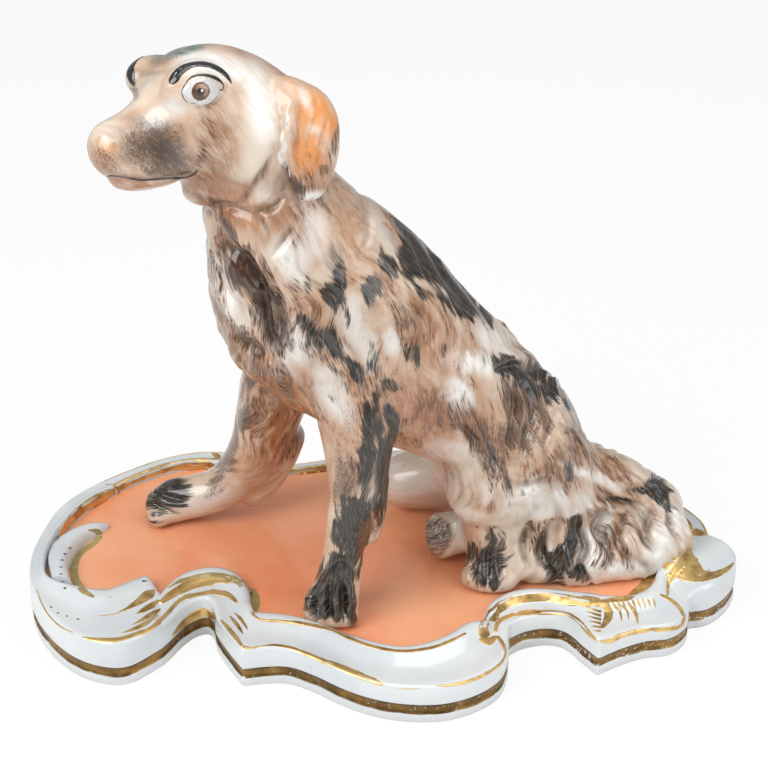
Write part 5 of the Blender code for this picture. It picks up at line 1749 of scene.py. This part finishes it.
def rim_material():
    """White glaze, with the worn brown-gold band in its groove round the wall."""
    sh = Shader("white_glaze_rim")
    place = sh.place()
    height = sh.node("SeparateXYZ", 2, {0: place})
    wander = sh.scaled(sh.noise(place, 90.0, 3.0), 0.0010, -0.0005)
    level = sh.plus(height, wander)
    cloud = sh.ramp(sh.noise(place, 35.0, 3.0), 0.35, 0.65)
    white = sh.mix(cloud, GLAZE_COOL, GLAZE_PALE)
    white = sh.mix(sh.ramp(height, 1 * MM, 5 * MM), GLAZE_FOOT, white)
    specks = sh.ramp(sh.noise(place, 300.0, 1.0, 0.3), 0.80, 0.83)
    white = sh.mix(specks, white, GLAZE_SPECK)
    above = sh.ramp(level, (FOOT_HEIGHT - 0.15) * MM, (FOOT_HEIGHT + 0.15) * MM)
    under = sh.ramp(level, (BAND_TOP - 0.2) * MM, (BAND_TOP + 0.2) * MM, 1.0, 0.0)
    worn_place = sh.ramp(sh.noise(place, 14.0, 1.0), 0.5, 0.62, 0.0, 0.05)
    flecks = sh.minus(sh.noise(place, 900.0, 3.0, 0.7), worn_place)
    worn = sh.ramp(flecks, 0.30, 0.36)
    band = sh.times(sh.times(above, under), worn)
    streak = sh.ramp(sh.noise(place, 120.0, 4.0, 0.65), 0.3, 0.7)
    bronze = sh.mix(streak, BAND_DARK, BAND_BRIGHT)
    colour = sh.mix(band, white, bronze)
    sh.finish(Metallic=sh.times(band, 0.7))
    ripple = sh.noise(place, 70.0, 2.0)
    return glaze(sh, colour, sh.scaled(band, 0.22, 0.12),
                 sh.bump(ripple, 0.25, 0.5), sh.scaled(band, -0.5, 0.6))


def gilding_material():
    sh = Shader("worn_gilding")
    place = sh.place()
    wear = sh.ramp(sh.noise(place, 330.0, 4.0, 0.7), 0.27, 0.36)
    colour = sh.mix(wear, GLAZE_UNDER_GOLD, gold_colour(sh, place))
    brush = sh.noise(place, 1400.0, 2.0)
    sh.finish(Metallic=sh.times(wear, 0.8))
    rough = sh.scaled(wear, 0.18, 0.14)
    return glaze(sh, colour, rough, sh.bump(brush, 0.05, 0.5), 0.2)


def plinth_material():
    """Coral ground on the deck, with cloudy firing and rubbed gold, and white glaze below."""
    sh = Shader("white_and_coral_glaze")
    place = sh.place()
    cloud = sh.ramp(sh.noise(place, 22.0, 3.0), 0.3, 0.7)
    white = sh.mix(cloud, WALL_COOL, WALL_PALE)
    colour = sh.mix(cloud, CORAL_DEEP, CORAL_PALE)
    mottle = sh.ramp(sh.noise(place, 260.0, 3.0, 0.6), 0.35, 0.75)
    colour = sh.mix(sh.times(mottle, 0.25), colour, CORAL_PALE)
    rubbed = sh.noise(place, 48.0, 4.0, 0.65)
    colour = sh.mix(sh.ramp(rubbed, 0.62, 0.78, 0.0, 0.55), colour, RUBBED_GOLD)
    height = sh.node("SeparateXYZ", 2, {0: place})
    colour = sh.mix(sh.ramp(height, (DECK_Z - 0.3) * MM, (DECK_Z - 0.1) * MM), white, colour)
    orange_peel = sh.noise(place, 500.0, 2.0)
    return glaze(sh, colour, 0.16, sh.bump(orange_peel, 0.04, 0.5))


def back_tracks(top):
    """Gilt lines along the sections of the rim that the photograph doesn't show."""
    rows, names = rim_rows()
    tracks = []
    for section in BACK_SECTIONS:
        run = rows[[name == section for name in names]]
        for share, half_width in BACK_GILDING:
            plan = run[:, :2] * (1 - share) + run[:, 2:4] * share
            line = [(x, y, half_width) for x, y in plan[::BACK_EVERY]]
            tracks.append(track_through(line, top.below))
    return tracks


def make_plinth():
    """Glaze and coral on the plinth, its rim, and the strokes of gilding on both."""
    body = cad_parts["plinth"]
    body.data.materials[0] = plinth_material()
    top = Surface(make_rim(), body)
    ticks = [rows for kind in TICKS.values() for rows in tick_rows(*kind)]
    front = [as_seen(track_through(rows, top.seen)) for rows in [*GILDING.values(), *ticks]]
    front += dot_tracks(GILT_DOTS, GILT_DOT_MM, top)
    specks = dot_tracks(BROWN_DOTS, BROWN_DOT_MM, top)
    edges = [as_seen(track_through(rows, top.seen)) for rows in OLIVE_EDGES.values()]
    gold = gilding_material()
    brown = enamel_and_painted_light_material("brown_dots", *BROWN_DOT_COLOURS)
    olive = enamel_and_painted_light_material("olive_edges_and_reflection", *OLIVE_COLOURS)
    paint_strokes("gilding_front", top, front, GILDING_HEIGHT_MM, gold)
    paint_strokes("brown_dots", top, specks, GILDING_HEIGHT_MM, brown)
    paint_strokes("olive_edges_and_reflection", top, edges, GILDING_HEIGHT_MM, olive)
    paint_strokes("gilding_back", top, back_tracks(top), GILDING_HEIGHT_MM, gold)


# Floor, light and camera


def make_floor():
    """A pale floor that shows near white to the camera and takes soft shadows."""
    bm = bmesh.new()
    bmesh.ops.create_grid(bm, x_segments=1, y_segments=1, size=FLOOR_HALF_SIDE)
    mesh = bpy.data.meshes.new("floor")
    bm.to_mesh(mesh)
    bm.free()
    floor = link("floor", mesh)
    sh = Shader("pale_floor")
    sh.finish(Base_Color=FLOOR_GREY, Roughness=0.9)
    glow = sh.node("Emission", 0, {0: (1.0, 1.0, 1.0), 1: 1.0})
    seen = sh.node("LightPath", 0, {})
    share = sh.times(seen, FLOOR_GLOW)
    mixed = sh.node("MixShader", 0, {0: share, 1: sh.surface.outputs[0], 2: glow})
    sh.feed(sh.tree.nodes["Material Output"].inputs[0], mixed)
    floor.data.materials.append(sh.material)


def make_world():
    """A background that is white to the camera and softer as light."""
    world = bpy.data.worlds.new("studio")
    world.use_nodes = True
    nodes = Nodes(world.node_tree)
    path = [nodes.node("LightPath", name, {}) for name in ("Is Camera Ray", "Is Transmission Ray")]
    seen = nodes.math("MAXIMUM", *path)
    level = nodes.node("MapRange", 0, {"Value": seen, "To Min": WORLD_LEVEL, "To Max": 1.0})
    back = nodes.tree.nodes["Background"]
    nodes.feed(back.inputs["Strength"], level)
    nodes.feed(back.inputs["Color"], (1.0, 1.0, 1.0))
    bpy.context.scene.world = world


def make_lamp(name, place_mm, size_mm, watts):
    lamp = bpy.data.lights.new(name, "AREA")
    lamp.energy = watts
    lamp.size = size_mm * MM
    obj = bpy.data.objects.new(name, lamp)
    obj.location = (np.array(place_mm) + DRAWING_SHIFT) * MM
    aim = Vector((np.array(CAMERA_TARGET_MM) - np.array(place_mm)).tolist())
    obj.rotation_euler = aim.to_track_quat("-Z", "Y").to_euler()
    bpy.context.scene.collection.objects.link(obj)


def make_camera():
    data = bpy.data.cameras.new("camera")
    data.lens = CAMERA_LENS
    data.sensor_width = SENSOR_MM
    data.clip_start = 0.01
    camera = bpy.data.objects.new("camera", data)
    camera.location = (camera_place() + DRAWING_SHIFT) * MM
    camera.rotation_euler = (math.radians(90 - CAMERA_ELEVATION), 0.0, 0.0)
    bpy.context.scene.collection.objects.link(camera)
    bpy.context.scene.camera = camera


def main():
    make_camera()
    make_world()
    make_floor()
    for lamp in LAMPS:
        make_lamp(*lamp)
    make_plinth()
    dog = make_dog()
    make_face(dog)
    bpy.context.scene.view_settings.view_transform = "Standard"


main()
